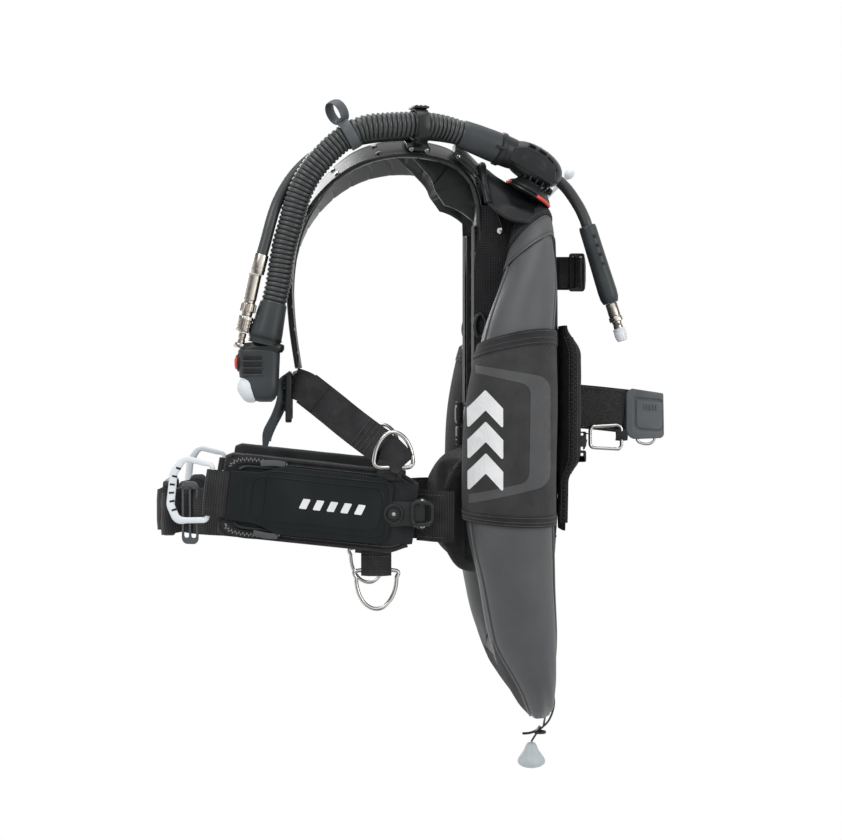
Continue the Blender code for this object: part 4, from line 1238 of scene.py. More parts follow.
def make_carry_handle():
    """The carry handle: a webbing arch with a moulded grip."""
    route = ((-37, -102, 206), (-36, -103, 236), (-28, -103, 264), (0, -103, 280),
             (28, -103, 264), (36, -103, 236), (37, -102, 206))
    points = smooth_route(route, 4)
    show(strap("carry_handle_webbing", points, Y_AXIS, 18, 2.6), "webbing", replaces=["carry_handle"])
    middle = [p for p in points if p.z > 258]
    rows = []
    for i, (point, forward) in enumerate(zip(middle, tangents(middle))):
        end = smoothstep(0, 3, min(i, len(middle) - 1 - i)) * 0.4 + 0.6
        normal = forward.cross(Y_AXIS).normalized()
        rows.append([point + (Y_AXIS * 10.5 * math.cos(a) + normal * 4.6 * math.sin(a)) * end
                     for a in turns(20)])
    show(skin("carry_handle_grip", rows), "elastomer")


def band_route():
    half = ((0, -25), (36, -25), (49, -23), (52, -10), (54, 30), (54, 66), (50, 92), (34, 107), (0, 112))
    outline = list(half) + [(-x, y) for x, y in reversed(half[1:-1])]
    return smooth_route([(x, y, 8 - 12 / 112 * max(y, 0)) for x, y in outline], 3, closed=True)


def make_tank_band():
    """The band round the tank: loop pile, a moulded grip on its end and the cinch below it."""
    points = band_route()
    show(strap("tank_band_pile", points, Z_AXIS, 50, 2.2, closed=True), "loop_pile", replaces=["tank_band"])
    outer = [p for p in points if p.x > 40 and p.y > 0 and p.y < 70]
    under = [p + X_AXIS * 2.6 for p in outer]
    show(strap("tank_band_overlap", under, Z_AXIS, 49, 2.4), "loop_pile")
    for name, sign in EDGES:
        sew(f"tank_band_stitch_{name}", [p + X_AXIS * 4.0 + Z_AXIS * sign * 22.6 for p in outer], X_AXIS)
    make_band_grip()
    make_band_cinch()


def make_band_grip():
    """The moulded grip: rounded towards the front, with an inset panel and ribs at its end."""
    def at(u, v, w):
        bow = 0.004 * (u - 91) ** 2
        return Vector((61 + w - bow, u, v - 2.5 - 0.07 * (u - 91)))

    outline = rounded(((69, -23), (69, 23), (76, 28), (112, 25), (113, -26), (76, -30))[::-1],
                      (9, 6, 2, 2, 6, 9), 6)
    inset = rounded(((78, -19), (78, 18), (110, 17), (110, -19))[::-1], (6, 2, 2, 6), 6)
    groove = rounded(((80.5, -16.5), (80.5, 15.5), (111, 15), (111, -17))[::-1], (5, 1, 1, 5), 6)
    pieces = [
        moulding("grip", outline, 6.4, at, 1.6, holes=(inset,)),
        moulding("floor", inset, 4.4, lambda u, v, w: at(u, v, w - 0.6), 0.0),
        moulding("pad", groove, 2.4, lambda u, v, w: at(u, v, w + 1.9), 0.9)]
    for number in range(5):
        pieces.append(block("rib", (1.0, 1.3, 7), at(90 + 3.4 * number, 8, 3.2), bevel=0.4))
    show(joined("band_grip_moulding", pieces), "grip_plastic", replaces=["band_grip"])


def make_band_cinch():
    """The wire cinch loop with its slotted bar, and the stainless eye that it hooks."""
    pivot = Vector((60, 64, -29))
    corners = rounded(((0, -14), (0, 14), (-36, 12), (-36, -12)), 5, 8)
    loop = [pivot + Vector((0, y, z)) for y, z in corners]
    show(rod("band_cinch_wire", resampled(loop + [loop[0]], 2)[:-1], 2.0, sides=12, closed=True), "stainless",
         body="band_cinch", replaces=["band_buckle"])
    eye = ellipse(Vector((60, 92, -31)), Y_AXIS * 10, Z_AXIS * 6, 32)
    show(rod("band_cinch_eye", eye, 1.7, sides=10, closed=True), "stainless")
    hinge = [Vector((60, 60, -27.5)), Vector((60, 70, -27.5))]
    tab = strap("band_cinch_tab", smooth_route([(60, 64, -20), (63.2, 64, -28), (60, 64, -32.6)], 2),
                Y_AXIS, 14, 1.6)
    show(tab, "webbing")
    show(rod("band_cinch_pin", hinge, 2.6, sides=12), "stainless")


def make_upper_tank_strap():
    """The upper strap round the tank, with its tail and ladder lock."""
    wide = 28
    half = ((0, -23), (wide - 8, -23), (wide - 1, -20), (wide, -4), (wide, 12), (wide - 8, 25), (0, 29))
    outline = list(half) + [(-x, y) for x, y in reversed(half[1:-1])]
    points = smooth_route([(x, y, 160) for x, y in outline], 3, closed=True)
    show(strap("upper_strap_webbing", points, Z_AXIS, 36, 2.2, closed=True), "webbing",
         replaces=["upper_tank_strap"])
    tail = [Vector((30.8, y, 160)) for y in range(-4, 22, 2)]
    show(strap("upper_strap_tail", tail, Z_AXIS, 35, 1.8), "webbing")

    def at(u, v, w):
        return Vector((31.5 + w, 16 + u, 160 + v))

    frame_outline = oblong(-9, -22, 9, 22, 3, 5)
    holes = [oblong(u - 2, -18, u + 2, 18, 1, 3) for u in (-4.6, 4.6)]
    lock = [moulding("lock", frame_outline, 5, at, 1.2, holes=holes)]
    for number in range(3):
        lock.append(rod("tooth", [at(-1.4 + 1.4 * number, -17, 2.8), at(-1.4 + 1.4 * number, 17, 2.8)],
                        0.6, 6))
    show(joined("upper_strap_lock", lock), "black_plastic")


BACK_SIDE_EDGE = ((-34, 97, -70), (14, 97, -70), (88, 96, -64), (140, 88, -52), (198, 80, -48),
                  (232, 84, -60))


def make_back_sides():
    """Dark cloth from each strap's foot back to the lobe, with a webbing rail, a loop and a small buckle."""
    for label, side in SIDES:
        rows = []
        edge = smooth_route([(x, y, z) for z, x, y in BACK_SIDE_EDGE], 4)
        for point in edge:
            high = smoothstep(150, 232, point.z)
            front = Vector((89.5, -107 + 6 * high, point.z))
            middle = Vector((91, -84 + 8 * high, point.z))
            line = [front, front.lerp(middle, 0.5), middle, middle.lerp(point, 0.5), point]
            drift = 1.2 * noise.noise(Vector((0.03 * point.z, 0, side)))
            outer = [Vector((side * (p.x + drift), p.y, p.z)) for p in line]
            rows.append(outer + [p + Vector((-side * 0.8, 2.2, 0)) for p in reversed(outer)])
        show(skin(f"back_side_cloth_{label}", rows), "foam_pad", angle=60)
        rail = [Vector((side * 70, -107, z)) for z in range(-30, 212, 6)]
        show(strap(f"back_side_webbing_{label}", rail, X_AXIS, 38, 2), "webbing")
        oval = ellipse(Vector((side * 92, -100, 97)), Y_AXIS * 6, Z_AXIS * 13, 36)
        show(rod(f"back_side_loop_{label}", oval, 2.6, sides=10, closed=True), "black_plastic")
        make_side_release(f"back_side_buckle_{label}", Vector((side * 74, -113, -16)), Z_AXIS, -Y_AXIS,
                          30, 52)


# ---------------------------------------------------------------- shoulder harness

SHOULDER_HALF_ROUTE = (
    (68, -101, -34), (68, -101, 60), (68, -101, 150), (68, -101, 205), (68, -103, 243), (72, -115, 272),
    (78, -140, 289), (86, -185, 295), (90, -228, 287), (90, -262, 266), (88, -290, 233), (87, -307, 195),
    (87, -314, 150), (87, -312, 100), (88, -305, 50))
SHOULDER_ROLL = math.radians(24)
STRAP_STEP = 2.0


def mirrored(points, side):
    return [Vector((side * p[0], p[1], p[2])) for p in points]


def shoulder_frames(side, step):
    """Points of a shoulder strap with its direction, its outward-pointing width and its outer face."""
    points = smooth_route(mirrored(SHOULDER_HALF_ROUTE, side), step)
    frames = []
    for point, forward in zip(points, tangents(points)):
        share = min(max((point.z - 150) / 130, 0), 1)
        roll = SHOULDER_ROLL * share
        across = Vector((side * math.cos(roll), 0, -math.sin(roll)))
        across = (across - forward * across.dot(forward)).normalized()
        face = forward.cross(across).normalized() * side
        frames.append((point, forward, across, face, 40 + 12 * share))
    return frames


CURL_THICKNESS = 8.0


def shoulder_curl(point):
    """How far the strap's inner edge curls down: most at the corner behind the shoulder, none in front."""
    away = abs(point.y - point.z + 385) / 95
    behind = smoothstep(-250, -225, point.y)
    above = min(max((point.z - 216) / 24, 0.0), 1.0)
    return 0.6 + behind * above * 40 * max(0.0, 1 - away ** 2)


def make_shoulder_straps():
    """Moulded straps: beaded edges, and an inner face of separate pads with curved gaps."""
    for label, side in SIDES:
        rows = []
        travelled = 0.0
        frames = shoulder_frames(side, STRAP_STEP)
        for i, (point, _, across, face, width) in enumerate(frames):
            travelled += STRAP_STEP
            end = smoothstep(0, 6, i) * smoothstep(0, 6, len(frames) - 1 - i)
            row = []
            for k in range(25):
                u = -1 + 2 * k / 24
                edge = (1 - abs(u) ** 10) * 0.7 + 0.3
                bead = 0.9 * bump_at(abs(u), 0.88, 0.09)
                row.append(point + across * u * width / 2 + face * (2.6 * edge + bead))
            phase = math.fmod(travelled, 26) / 26
            inner_limit = -1 + 2 * CURL_THICKNESS / width
            for k in range(25):
                u = 1 + (inner_limit - 1) * k / 24
                edge = (1 - abs(u) ** 10) * 0.7 + 0.3
                gap = bump_at(math.fmod(phase + 0.19 * (1 - u * u), 1), 0.5, 0.055)
                pad = 1.5 * smoothstep(0.98, 0.80, abs(u)) * (1 - gap)
                row.append(point + across * u * width / 2 - face * (2.2 * edge + pad * end))
            depth = 3.2 + shoulder_curl(point)
            down = -Vector((0, face.y, face.z)).normalized()
            gap = bump_at(phase, 0.5, 0.055)
            lip = [(k / 12, 0.9 * gap + 1.6 * max(0.0, k / 12 - 0.85) / 0.15) for k in range(1, 13)]
            for share, waist in lip:
                sunk = between((2.4, depth), share)
                row.append(point + across * (inner_limit * width / 2 - waist) + down * sunk)
            for share, waist in reversed(lip):
                row.append(point + across * (-width / 2 + waist) + down * ((depth + 1) * share))
            rows.append(row)
        strap_piece = skin(f"shoulder_strap_moulding_{label}", rows)
        show(strap_piece, "elastomer", replaces=[f"shoulder_strap_{label}"], angle=50)
        make_strap_trim(label, side, frames)


def frame_near(frames, y):
    """The frame nearest y on the part of the strap that lies over the shoulder."""
    return min((f for f in frames if f[0].z > 200), key=lambda f: abs(f[0].y - y))


def make_strap_trim(label, side, frames):
    """Plates, screws and the load strap on top of one shoulder strap."""
    plates, screws = [], []
    for y, length, thick in ((-120, 42, 8.5), (-172, 26, 5.5)):
        point, forward, across, face, width = frame_near(frames, y)
        turn = Matrix((across, forward, face)).transposed()
        centre = point + face * (4.2 + thick / 2)
        plates.append(block("plate", (width - 12, length, thick), centre, turn, bevel=1.6))
        plates.append(block("plate_top", (width - 24, length - 10, 1.6), centre + face * thick / 2, turn,
                            bevel=0.7))
        for along in (-0.34, 0.34):
            head = centre + forward * along * length + across * ((width - 12) / 2 - 0.2) - face * 0.8
            screws.append(turned("screw", ((2.7, -1), (2.7, 0.5), (2.0, 1.1), (0.9, 1.1), (0.9, 0.5),
                                           (0, 0.5)), head, across, steps=16))
    for y in (-216, -262):
        point, forward, across, face, width = frame_near(frames, y)
        for u in (-0.55, 0.55):
            screws.append(turned("rivet", ((3.4, 0), (3.4, 0.8), (2.6, 1.6), (0, 1.8)),
                                 point + across * u * width / 2 + face * 3.1, face, steps=18))
    show(joined(f"strap_plates_{label}", plates), "black_plastic")
    show(joined(f"strap_screws_{label}", screws), "stainless")
    load = [(82, -128, 292), (88, -108, 272), (92, -92, 248), (93, -81, 222), (93, -75, 202)]
    load_strap = strap(f"load_strap_{label}", smooth_route(mirrored(load, side), 3),
                       (side * 0.94, 0, -0.34), 30, 2.2)
    show(load_strap, "elastomer", angle=60)
    anchor = turned(f"load_strap_rivet_{label}", ((4, 0), (4, 0.9), (3, 1.9), (0, 2.1)),
                    (side * 103, -79, 203), (side * 0.55, -0.8, 0.1), steps=20)
    show(anchor, "stainless")
    chest = [(88, -318, 205), (99, -320, 206), (106, -312, 207)]
    clip = strap(f"chest_strap_guide_{label}", smooth_route(mirrored(chest, side), 2), Z_AXIS, 16, 3)
    show(clip, "black_plastic")


def even(points, count):
    """The same line as exactly count evenly spaced points."""
    total = length_of(points)
    line = resampled(points, total / (count - 1) * 0.9999)
    return line[:count - 1] + [points[-1]]


YOKE_THICKNESS = 2.4


def yoke_fold(point):
    """The saddle's creases: shallow waves that run fore and aft and fade by the strap."""
    wave = math.sin(abs(point.x) * 0.42 + point.y * 0.10 + 1.5 * noise.noise(point * 0.03))
    return 1.3 * wave * smoothstep(-92, -70, point.y) + 0.8 * noise.noise(point * 0.07)


def make_shoulder_yokes():
    """The fabric saddle under each shoulder: it wraps from the strap over the top of the cell."""
    sections = (
        ((44, -26, 231), (60, -24, 232), (80, -22, 228), (96, -24, 219), (108, -28, 206)),
        ((44, -44, 240), (60, -44, 240), (80, -44, 239), (100, -46, 228), (113, -50, 212)),
        ((44, -62, 250), (60, -63, 253), (80, -64, 253), (100, -66, 238), (114, -70, 216)),
        ((46, -80, 260), (60, -82, 265), (80, -82, 266), (98, -83, 252), (108, -84, 226)),
        ((50, -95, 268), (62, -97, 275), (80, -97, 277), (96, -97, 263), (104, -92, 234)),
    )
    for label, side in SIDES:
        across = [even(smooth_route(mirrored(row, side), 3), 26) for row in sections]
        rows = [even(smooth_route([row[j] for row in across], 3), 30) for j in range(26)]
        work = bmesh.new()
        loops = []
        for line in rows:
            loops.append([work.verts.new(p + Z_AXIS * yoke_fold(p)) for p in line])
        for upper, lower in zip(loops, loops[1:]):
            for k in range(len(upper) - 1):
                work.faces.new((upper[k], upper[k + 1], lower[k + 1], lower[k]))
        bmesh.ops.recalc_face_normals(work, faces=work.faces)
        yoke = thickened(mesh_from(f"shoulder_yoke_{label}", work), YOKE_THICKNESS)
        show(yoke, "elastomer", slot="black_fabric", angle=70)
        show(rod(f"shoulder_yoke_edge_{label}", rows[-1], 2.0, sides=8), "binding")
        front = [row[-1] for row in rows]
        show(rod(f"shoulder_yoke_roll_{label}", front, 4.4, sides=12), "elastomer")


COLLAR_STEPS = (8, 44)
COLLAR_THICKNESS = 1.4


def collar_strip(name, side, top_t, bottom_t, low, high, lift, finish):
    """A bound band round the top of a lobe."""
    rows = []
    for i in range(COLLAR_STEPS[0] + 1):
        share = i / COLLAR_STEPS[0]
        outer, inner = [], []
        for k in range(COLLAR_STEPS[1] + 1):
            angle = math.radians(low + (high - low) * k / COLLAR_STEPS[1])
            slant = -0.30 * math.sin(angle)
            t = top_t + (bottom_t - top_t) * share + slant
            swell = 0.7 * math.sin(math.pi * share) + 0.5 * noise.noise(Vector((t * 3, angle * 2, side)))
            for rim, offset in ((outer, lift + swell), (inner, lift + swell - COLLAR_THICKNESS)):
                p = cell_point(t, angle, offset)
                rim.append(Vector((side * p.x, p.y, p.z)))
        rows.append(outer + inner[::-1])
    return show(skin(name, rows), finish, angle=60)


def make_collars():
    """The folded binding where each lobe meets the shoulder."""
    for label, side in SIDES:
        collar_strip(f"collar_lower_{label}", side, 1.95, 2.45, -85, 95, 1.6, "coated_fabric")
        collar_strip(f"collar_upper_{label}", side, 1.45, 1.98, -85, 95, 3.0, "pocket_cloth")
        for number, t in enumerate((1.55, 1.88, 2.05, 2.38)):
            line = []
            for k in range(61):
                angle = math.radians(-80 + 170 * k / 60)
                p = cell_point(t - 0.30 * math.sin(angle), angle, 3.6 if t < 2 else 2.3)
                line.append(Vector((side * p.x, p.y, p.z)))
            sew(f"collar_stitch_{number}_{label}", line, (side, 0, 0.4))


def make_shoulder_buckles():
    """The ladder buckle at the end of each shoulder strap, with its loose tail and pull tab."""
    for label, side in SIDES:
        def at(u, v, w):
            return Vector((side * (88 + u), -315 + w, 16 + v))

        outline = rounded(((-21, -27), (21, -27), (22, 27), (-22, 27)), 4, 5)
        holes = [oblong(-17, z, 17, z + 5.5, 1.5, 4) for z in (-20, -9, 16)]
        pieces = [moulding("frame", outline, 7, at, 1.6, holes=holes)]
        for z in (-12, 12):
            pieces.append(rod("bar", [at(-18, z, -3), at(18, z, -3)], 2.6, sides=12))
        for number in range(5):
            pieces.append(block("grip", (30, 2.2, 1.4), at(0, -2 + number * 3.2, -4.0), bevel=0.5))
        show(joined(f"shoulder_buckle_moulding_{label}", pieces), "black_plastic",
             replaces=[f"shoulder_buckle_{label}"])
        lead = smooth_route(mirrored([(91, -307, 46), (93, -311, 38), (100, -308, 33), (113, -296, 28),
                                      (121, -280, 15)], side), 3)
        flat, raised = Vector((0.9 * side, 0.3, 0.3)), Vector((0.05 * side, 0.60, 0.80))
        turn = [flat.lerp(raised, smoothstep(0, 0.55, i / len(lead))) for i in range(len(lead))]
        show(strap(f"buckle_webbing_{label}", lead, turn, 35, 2.2), "webbing")
        tail = [(100, -312, 44), (101, -322, 34), (102, -322, 16), (102, -328, -2), (103, -338, -22),
                (103, -341, -38)]
        points = smooth_route(mirrored(tail, side), 2.5)
        widths = [16 + 6 * smoothstep(0, 0.4, i / len(points)) - 12 * smoothstep(0.75, 1, i / len(points))
                  for i in range(len(points))]
        show(strap(f"pull_tail_{label}", points, (side * 0.75, -0.45, 0), widths, 3.0, crown=0.8),
             "dark_loop", slot="grey_plastic")


def make_shoulder_webbing():
    """Ribbed webbing from the buckle to the ring on the pocket, with a box of cross stitching."""
    for label, side in SIDES:
        route = mirrored(((113, -295, 27), (124, -272, 9), (141, -246, -12), (158, -222, -30),
                          (167, -213, -36)), side)
        points = smooth_route(route, 3)
        across = Vector((0.05 * side, 0.60, 0.80))
        show(strap(f"lower_webbing_{label}", points, across, 38, 2.4), "webbing",
             replaces=[f"shoulder_webbing_{label}"])
        end = points[-1]
        ring = Vector((side * 175, -197, -40))
        fold = [end, end.lerp(ring, 0.45) + X_AXIS * side * 1.5, ring + Vector((side * 3.6, 3, -10)),
                ring + Vector((0, 6, -16)), ring + Vector((-side * 4, 0, -15)),
                points[-4] - X_AXIS * side * 3]
        show(strap(f"lower_webbing_fold_{label}", smooth_route(fold, 2), across, 30, 2.0), "webbing")
        forward = (points[-1] - points[0]).normalized()
        face = forward.cross(across).normalized()
        if face.x * side < 0:
            face = -face
        seams = []
        for back in (16, 21, 27, 32):
            middle = points[len(points) - 1 - round(back / 3)] + face * 1.5
            reach = across.normalized() * 17
            seams.append(stitches("seam", [middle - reach, middle + reach], face, pitch=2.6, length=1.9,
                                  radius=0.35))
        show(joined(f"lower_webbing_stitch_{label}", seams), "thread_black")


LOWER_RING_CENTRE = (151, -219, -172)
LOOP_PIVOT = (178, -181, -108)
RING_WIRE = 2.3


def make_rings():
    """Stainless D-rings: welded wire, closed, with the flat side in their webbing."""
    for label, side in SIDES:
        x = 175
        arc = [(x, -201 + 21 * math.cos(a), -54 + 34 * math.sin(a))
               for a in (math.pi * k / 24 for k in range(25))]
        bar = [(x, -216, -58), (x, -201, -58), (x, -185, -58)]
        ring = resampled(smooth_route(mirrored(arc + bar, side), 2, closed=True), 2)[:-1]
        show(rod(f"upper_ring_{label}", ring, RING_WIRE, sides=14, closed=True), "stainless",
             replaces=[f"upper_d_ring_{label}"])
        x, y, z = LOWER_RING_CENTRE
        drop = [Vector((side * x, y - 22 * math.cos(a), z - 8 - 34 * math.sin(a)))
                for a in (math.pi * k / 32 for k in range(33))]
        bar = [Vector((side * x, y + 21, z)), Vector((side * x, y - 21, z))]
        lower = rod(f"lower_ring_{label}", resampled(smooth_route(drop + bar, 2, closed=True), 2)[:-1],
                    RING_WIRE, sides=14, closed=True)
        show(lower, "stainless", body=f"lower_ring_{label}", replaces=[f"lower_d_ring_{label}"])
        x, y, z = LOOP_PIVOT
        corners = rounded(((0, -13), (0, 13), (22, 11), (22, -11)), 6, 8)
        loop = [Vector((side * x, y + along, z + up)) for along, up in corners]
        show(rod(f"accessory_loop_wire_{label}", resampled(loop + [loop[0]], 1.5)[:-1], RING_WIRE,
                 sides=12, closed=True), "black_plastic", body=f"loop_{label}",
             replaces=[f"accessory_loop_{label}"])


# ---------------------------------------------------------------- waist

BELT_PLAN = ((154, -134), (155, -146), (147, -158), (134, -167), (127, -181), (126, -228), (125, -280),
             (124, -330), (118, -376), (100, -410), (72, -430), (40, -440), (5, -442))


def make_waist_belts():
    """The belt webbing, doubled where it leaves the back."""
    for label, side in SIDES:
        route = [(side * x, y, BELT_Z + 0.012 * (-134 - y)) for x, y in BELT_PLAN]
        points = smooth_route(route, 3)
        show(strap(f"waist_webbing_{label}", points, Z_AXIS, 52, 2.6), "coarse_webbing",
             replaces=[f"waist_belt_{label}"])
        wide = [p + X_AXIS * side * 2.6 for p in points if p.y > -176]
        show(strap(f"waist_wrap_{label}", wide, Z_AXIS, 56, 2.2), "coarse_webbing")
        for name, sign in EDGES:
            line = [p + X_AXIS * side * 1.6 + Z_AXIS * sign * 23 for p in wide[4:]]
            sew(f"waist_stitch_{name}_{label}", line, X_AXIS * side)


def buckle_plane(u, v, w):
    """The waist buckle's own plane: u to the wearer's left, v up, w towards the wearer."""
    return Vector((u, -451.6 + w, -109.5 + v))


def make_waist_buckle():
    """The side-release buckle at the front, the ladder loop and the folded webbing tails."""
    socket = rounded(((-40, -31.5), (0, -31.5), (0, 31.5), (-40, 31.5)), (5, 2, 2, 5), 6)
    bar_slot = [oblong(u, -25, u + 5, 25, 1.6, 4) for u in (-37, -29.5)]
    windows = [rounded(((-20, v), (-20, v + 6.5), (-6, v + 6.5), (-6, v))[::-1], 1.5, 4) for v in (21, -27.5)]
    shell_parts = [moulding("shell", socket, 13.6, buckle_plane, 2.6, holes=bar_slot + windows)]
    for number in range(4):
        shell_parts.append(block("rib", (1.6, 1.2, 26), buckle_plane(-19 + 4.5 * number, 0, -7.0), bevel=0.5))
    show(joined("waist_socket_shell", shell_parts), "black_plastic", replaces=["waist_buckle_socket"])
    plug = rounded(((0.8, -31.5), (46, -31.5), (46, 31.5), (0.8, 31.5)), (2, 6, 6, 2), 6)
    slots = [oblong(u, -26, u + 7, 26, 2, 4) for u in (16, 32)]
    pieces = [moulding("plug", plug, 13.6, buckle_plane, 2.6, holes=slots)]
    for v in (-26.5, 0, 22):
        prong = rounded(((-26, v), (6, v - 2), (6, v + 6), (-26, v + 4)), 1.5, 4)
        pieces.append(moulding("prong", prong, 6, buckle_plane, 1.0))
    show(joined("waist_plug_shell", pieces), "black_plastic", body="waist_plug",
         replaces=["waist_buckle_plug"])
    make_belt_tails()


def make_belt_tails():
    """The two folds of webbing at the buckle, and the ladder loop on each side."""
    tail = [(62, -436, -109), (66, -452, -109), (58, -462, -110), (40, -464, -111), (10, -464, -112),
            (-30, -463, -112)]
    show(strap("belt_tail_front", smooth_route(tail, 3), (0.02, 0, 1), 46, 2.4), "coarse_webbing",
         body="waist_plug")
    second = [(70, -433, -110), (78, -447, -112), (72, -456, -114), (54, -459, -115), (20, -461, -116)]
    show(strap("belt_tail_under", smooth_route(second, 3), (-0.03, 0, 1), 48, 2.4), "coarse_webbing",
         body="waist_plug")
    for label, side in SIDES:
        def at(u, v, w):
            return Vector((side * (88 + w - 0.47 * u), -425 - 0.88 * u, -112 + v))

        outline = oblong(-11, -35, 11, 35, 7, 7)
        holes = [oblong(u - 3, -28, u + 3, 28, 2.4, 5) for u in (-4.6, 4.6)]
        loop = moulding(f"belt_ladder_loop_{label}", outline, 4.6, at, 1.5, holes=holes)
        show(loop, "dark_loop", slot="grey_plastic")


# ---------------------------------------------------------------- weight pockets

POCKET_CENTRE = Vector((151, -281, -98))
POCKET_LEAN = math.radians(-6.2)
POCKET_FRONT, POCKET_REAR, POCKET_HALF_X, POCKET_HALF_Z = -104, 105, 20.0, 45.5
POUCH_FRONT, POUCH_LENGTH, POUCH_HALF_X, POUCH_HALF_Z = -104.2, 187, 12.6, 32.6
HANDLE_PIVOT = -119.0


def pocket_frame(side):
    """Places the pocket's own x (outward), y (rearward) and z in the world."""
    turn = Matrix.Rotation(POCKET_LEAN, 3, "X")

    def at(x, y, z):
        p = turn @ Vector((0, y, z))
        return Vector((side * (POCKET_CENTRE.x + x), POCKET_CENTRE.y + p.y, POCKET_CENTRE.z + p.z))

    return at


def make_holster(label, side, at):
    """The pocket's case: padded cloth round an open front, its corners drawn in, with its hems and tabs."""
    outer = []
    for i in range(43):
        y = between((POCKET_FRONT, POCKET_REAR), i / 42)
        rear = smoothstep(0, 26, POCKET_REAR - y)
        front = smoothstep(0, 5, y - POCKET_FRONT)
        half_x = POCKET_HALF_X * (0.80 + 0.20 * rear) * (0.93 + 0.07 * front)
        half_z = POCKET_HALF_Z * (0.74 + 0.26 * rear) * (0.95 + 0.05 * front)
        row = []
        for a in turns(72):
            c, s = math.cos(a), math.sin(a)
            x = half_x * bulged(c, 0.42)
            z = half_z * bulged(s, 0.42)
            puff = 0.8 * noise.noise(Vector((y * 0.035 + side, c * 1.5, s * 1.5)))
            seam = -1.0 * (bump_at(abs(z), 36.5, 1.4) if c > 0.2 else 0)
            row.append(at(x + (puff + seam) * (1 if c > 0 else -1), y, z + puff * 0.5))
        outer.append(row)
    inner = []
    for y, grow in ((90, 0.0), (-60, 0.0), (POCKET_FRONT, 0.6)):
        inner.append([at((13.8 + grow) * bulged(math.cos(a), 0.3), y,
                         (34.2 + grow) * bulged(math.sin(a), 0.3))
                      for a in turns(72)])
    holster = skin(f"pocket_case_{label}", inner + outer)
    show(holster, "pocket_cloth", replaces=[f"pocket_holster_{label}"], angle=60)
    rim = [at(17.0 * bulged(math.cos(a), 0.42), -104.5,
              40.5 * bulged(math.sin(a), 0.42))
           for a in turns(96)]
    show(rod(f"pocket_rim_{label}", resampled(rim + [rim[0]], 3)[:-1], 2.2, sides=8, closed=True), "binding")
    for name, z in (("upper", 43.2), ("lower", -43.2)):
        edge = [at(17.2 - 2.5 * smoothstep(70, 100, y), y, z * (1 - 0.20 * smoothstep(78, 104, y)))
                for y in range(-100, 103, 4)]
        show(rod(f"pocket_piping_{name}_{label}", edge, 1.7, sides=8), "binding")
        seam = [p + Vector((side * 1.9, 0, -0.11 * z)) for p in edge[2:-2]]
        sew(f"pocket_stitch_{name}_{label}", seam, X_AXIS * side)


def make_holster_fittings(label, side):
    """Tabs for the rings, the studded plate that joins the pocket to the belt, and the top ring's anchor."""
    x, y, z = LOWER_RING_CENTRE
    loop = [(x + 3.4, y, -142), (x + 4.2, y, -158), (x + 4.3, y, z + 1), (x + 3.2, y, z - 4.2),
            (x, y, z - 5.2), (x - 3.2, y, z - 4.2), (x - 4.3, y, z + 1), (x - 4.2, y, -158),
            (x - 3.4, y, -142)]
    tab = strap(f"lower_ring_tab_{label}", smooth_route(mirrored(loop, side), 1.5), Y_AXIS, 33, 1.8)
    show(tab, "webbing")
    seams = [stitches("seam", [Vector((side * (x + 5.6), y - 15, h)), Vector((side * (x + 5.6), y + 15, h))],
                      X_AXIS * side) for h in (-152, -156)]
    show(joined(f"lower_ring_tab_stitch_{label}", seams), "thread_black")
    anchor = [Vector((side * 172, -206, -72)), Vector((side * 174, -206, -62)),
              Vector((side * 175.4, -205, -54)), Vector((side * 172, -204, -52)),
              Vector((side * 168, -204, -60))]
    show(strap(f"upper_ring_anchor_{label}", smooth_route(anchor, 1.5), (0, 0.99, -0.1), 26, 2.0), "webbing")

    def plate_at(u, v, w):
        return Vector((side * (171.6 + w), -190 + u, -108.5 + v))

    outline = rounded(((-24, -15), (6, -13), (20, -17), (24, -17), (24, 17), (20, 17), (6, 13), (-24, 15)),
                      (12, 5, 3, 3, 3, 3, 5, 12), 7)
    pieces = [moulding("plate", outline, 3.4, plate_at, 1.0)]
    collar = ((11.5, 0), (11.5, 2.4), (10.4, 3.6), (8.6, 3.8), (7.6, 2.6), (6.6, 2.6), (5.8, 4.2), (0, 4.8))
    pieces.append(turned("stud", collar, plate_at(-11, 0, 1.6), X_AXIS * side, steps=40))
    for v in (-12, 12):
        pieces.append(block("bar", (5, 5, 4), plate_at(11, v, 2.6), bevel=1.2))
    show(joined(f"pocket_stud_plate_{label}", pieces), "black_plastic")
    rivets = [turned("rivet", ((3.1, 0), (3.1, 0.7), (2.2, 1.5), (0, 1.8)), plate_at(20.5, v, 1.6),
                     X_AXIS * side, steps=18) for v in (-12.5, 12.5)]
    rivets.append(turned("star", ((2.4, 0), (2.2, 0.8), (0, 1.0)), plate_at(-11, 0, 6.0), X_AXIS * side,
                         steps=6))
    show(joined(f"pocket_rivets_{label}", rivets), "stainless")


def make_pouch(label, at):
    """The inner pouch that the flap draws out with the weights in it."""
    rows = []
    for i in range(31):
        y = POUCH_FRONT + POUCH_LENGTH * i / 30
        end = smoothstep(0, 14, y + 104.5) * smoothstep(0, 22, 83.4 - y)
        half_x, half_z = POUCH_HALF_X * (0.72 + 0.28 * end), POUCH_HALF_Z * (0.88 + 0.12 * end)
        row = []
        for a in turns(40):
            c, s = math.cos(a), math.sin(a)
            fold = 0.35 * math.sin(y * 0.22) * (1 - end * 0.5)
            row.append(at(half_x * bulged(c, 0.5) + fold, y, half_z * bulged(s, 0.5)))
        rows.append(row)
    pouch = skin(f"weight_pouch_cloth_{label}", rows)
    show(pouch, "pocket_cloth", body=f"pouch_{label}", replaces=[f"weight_pouch_{label}"], angle=60)


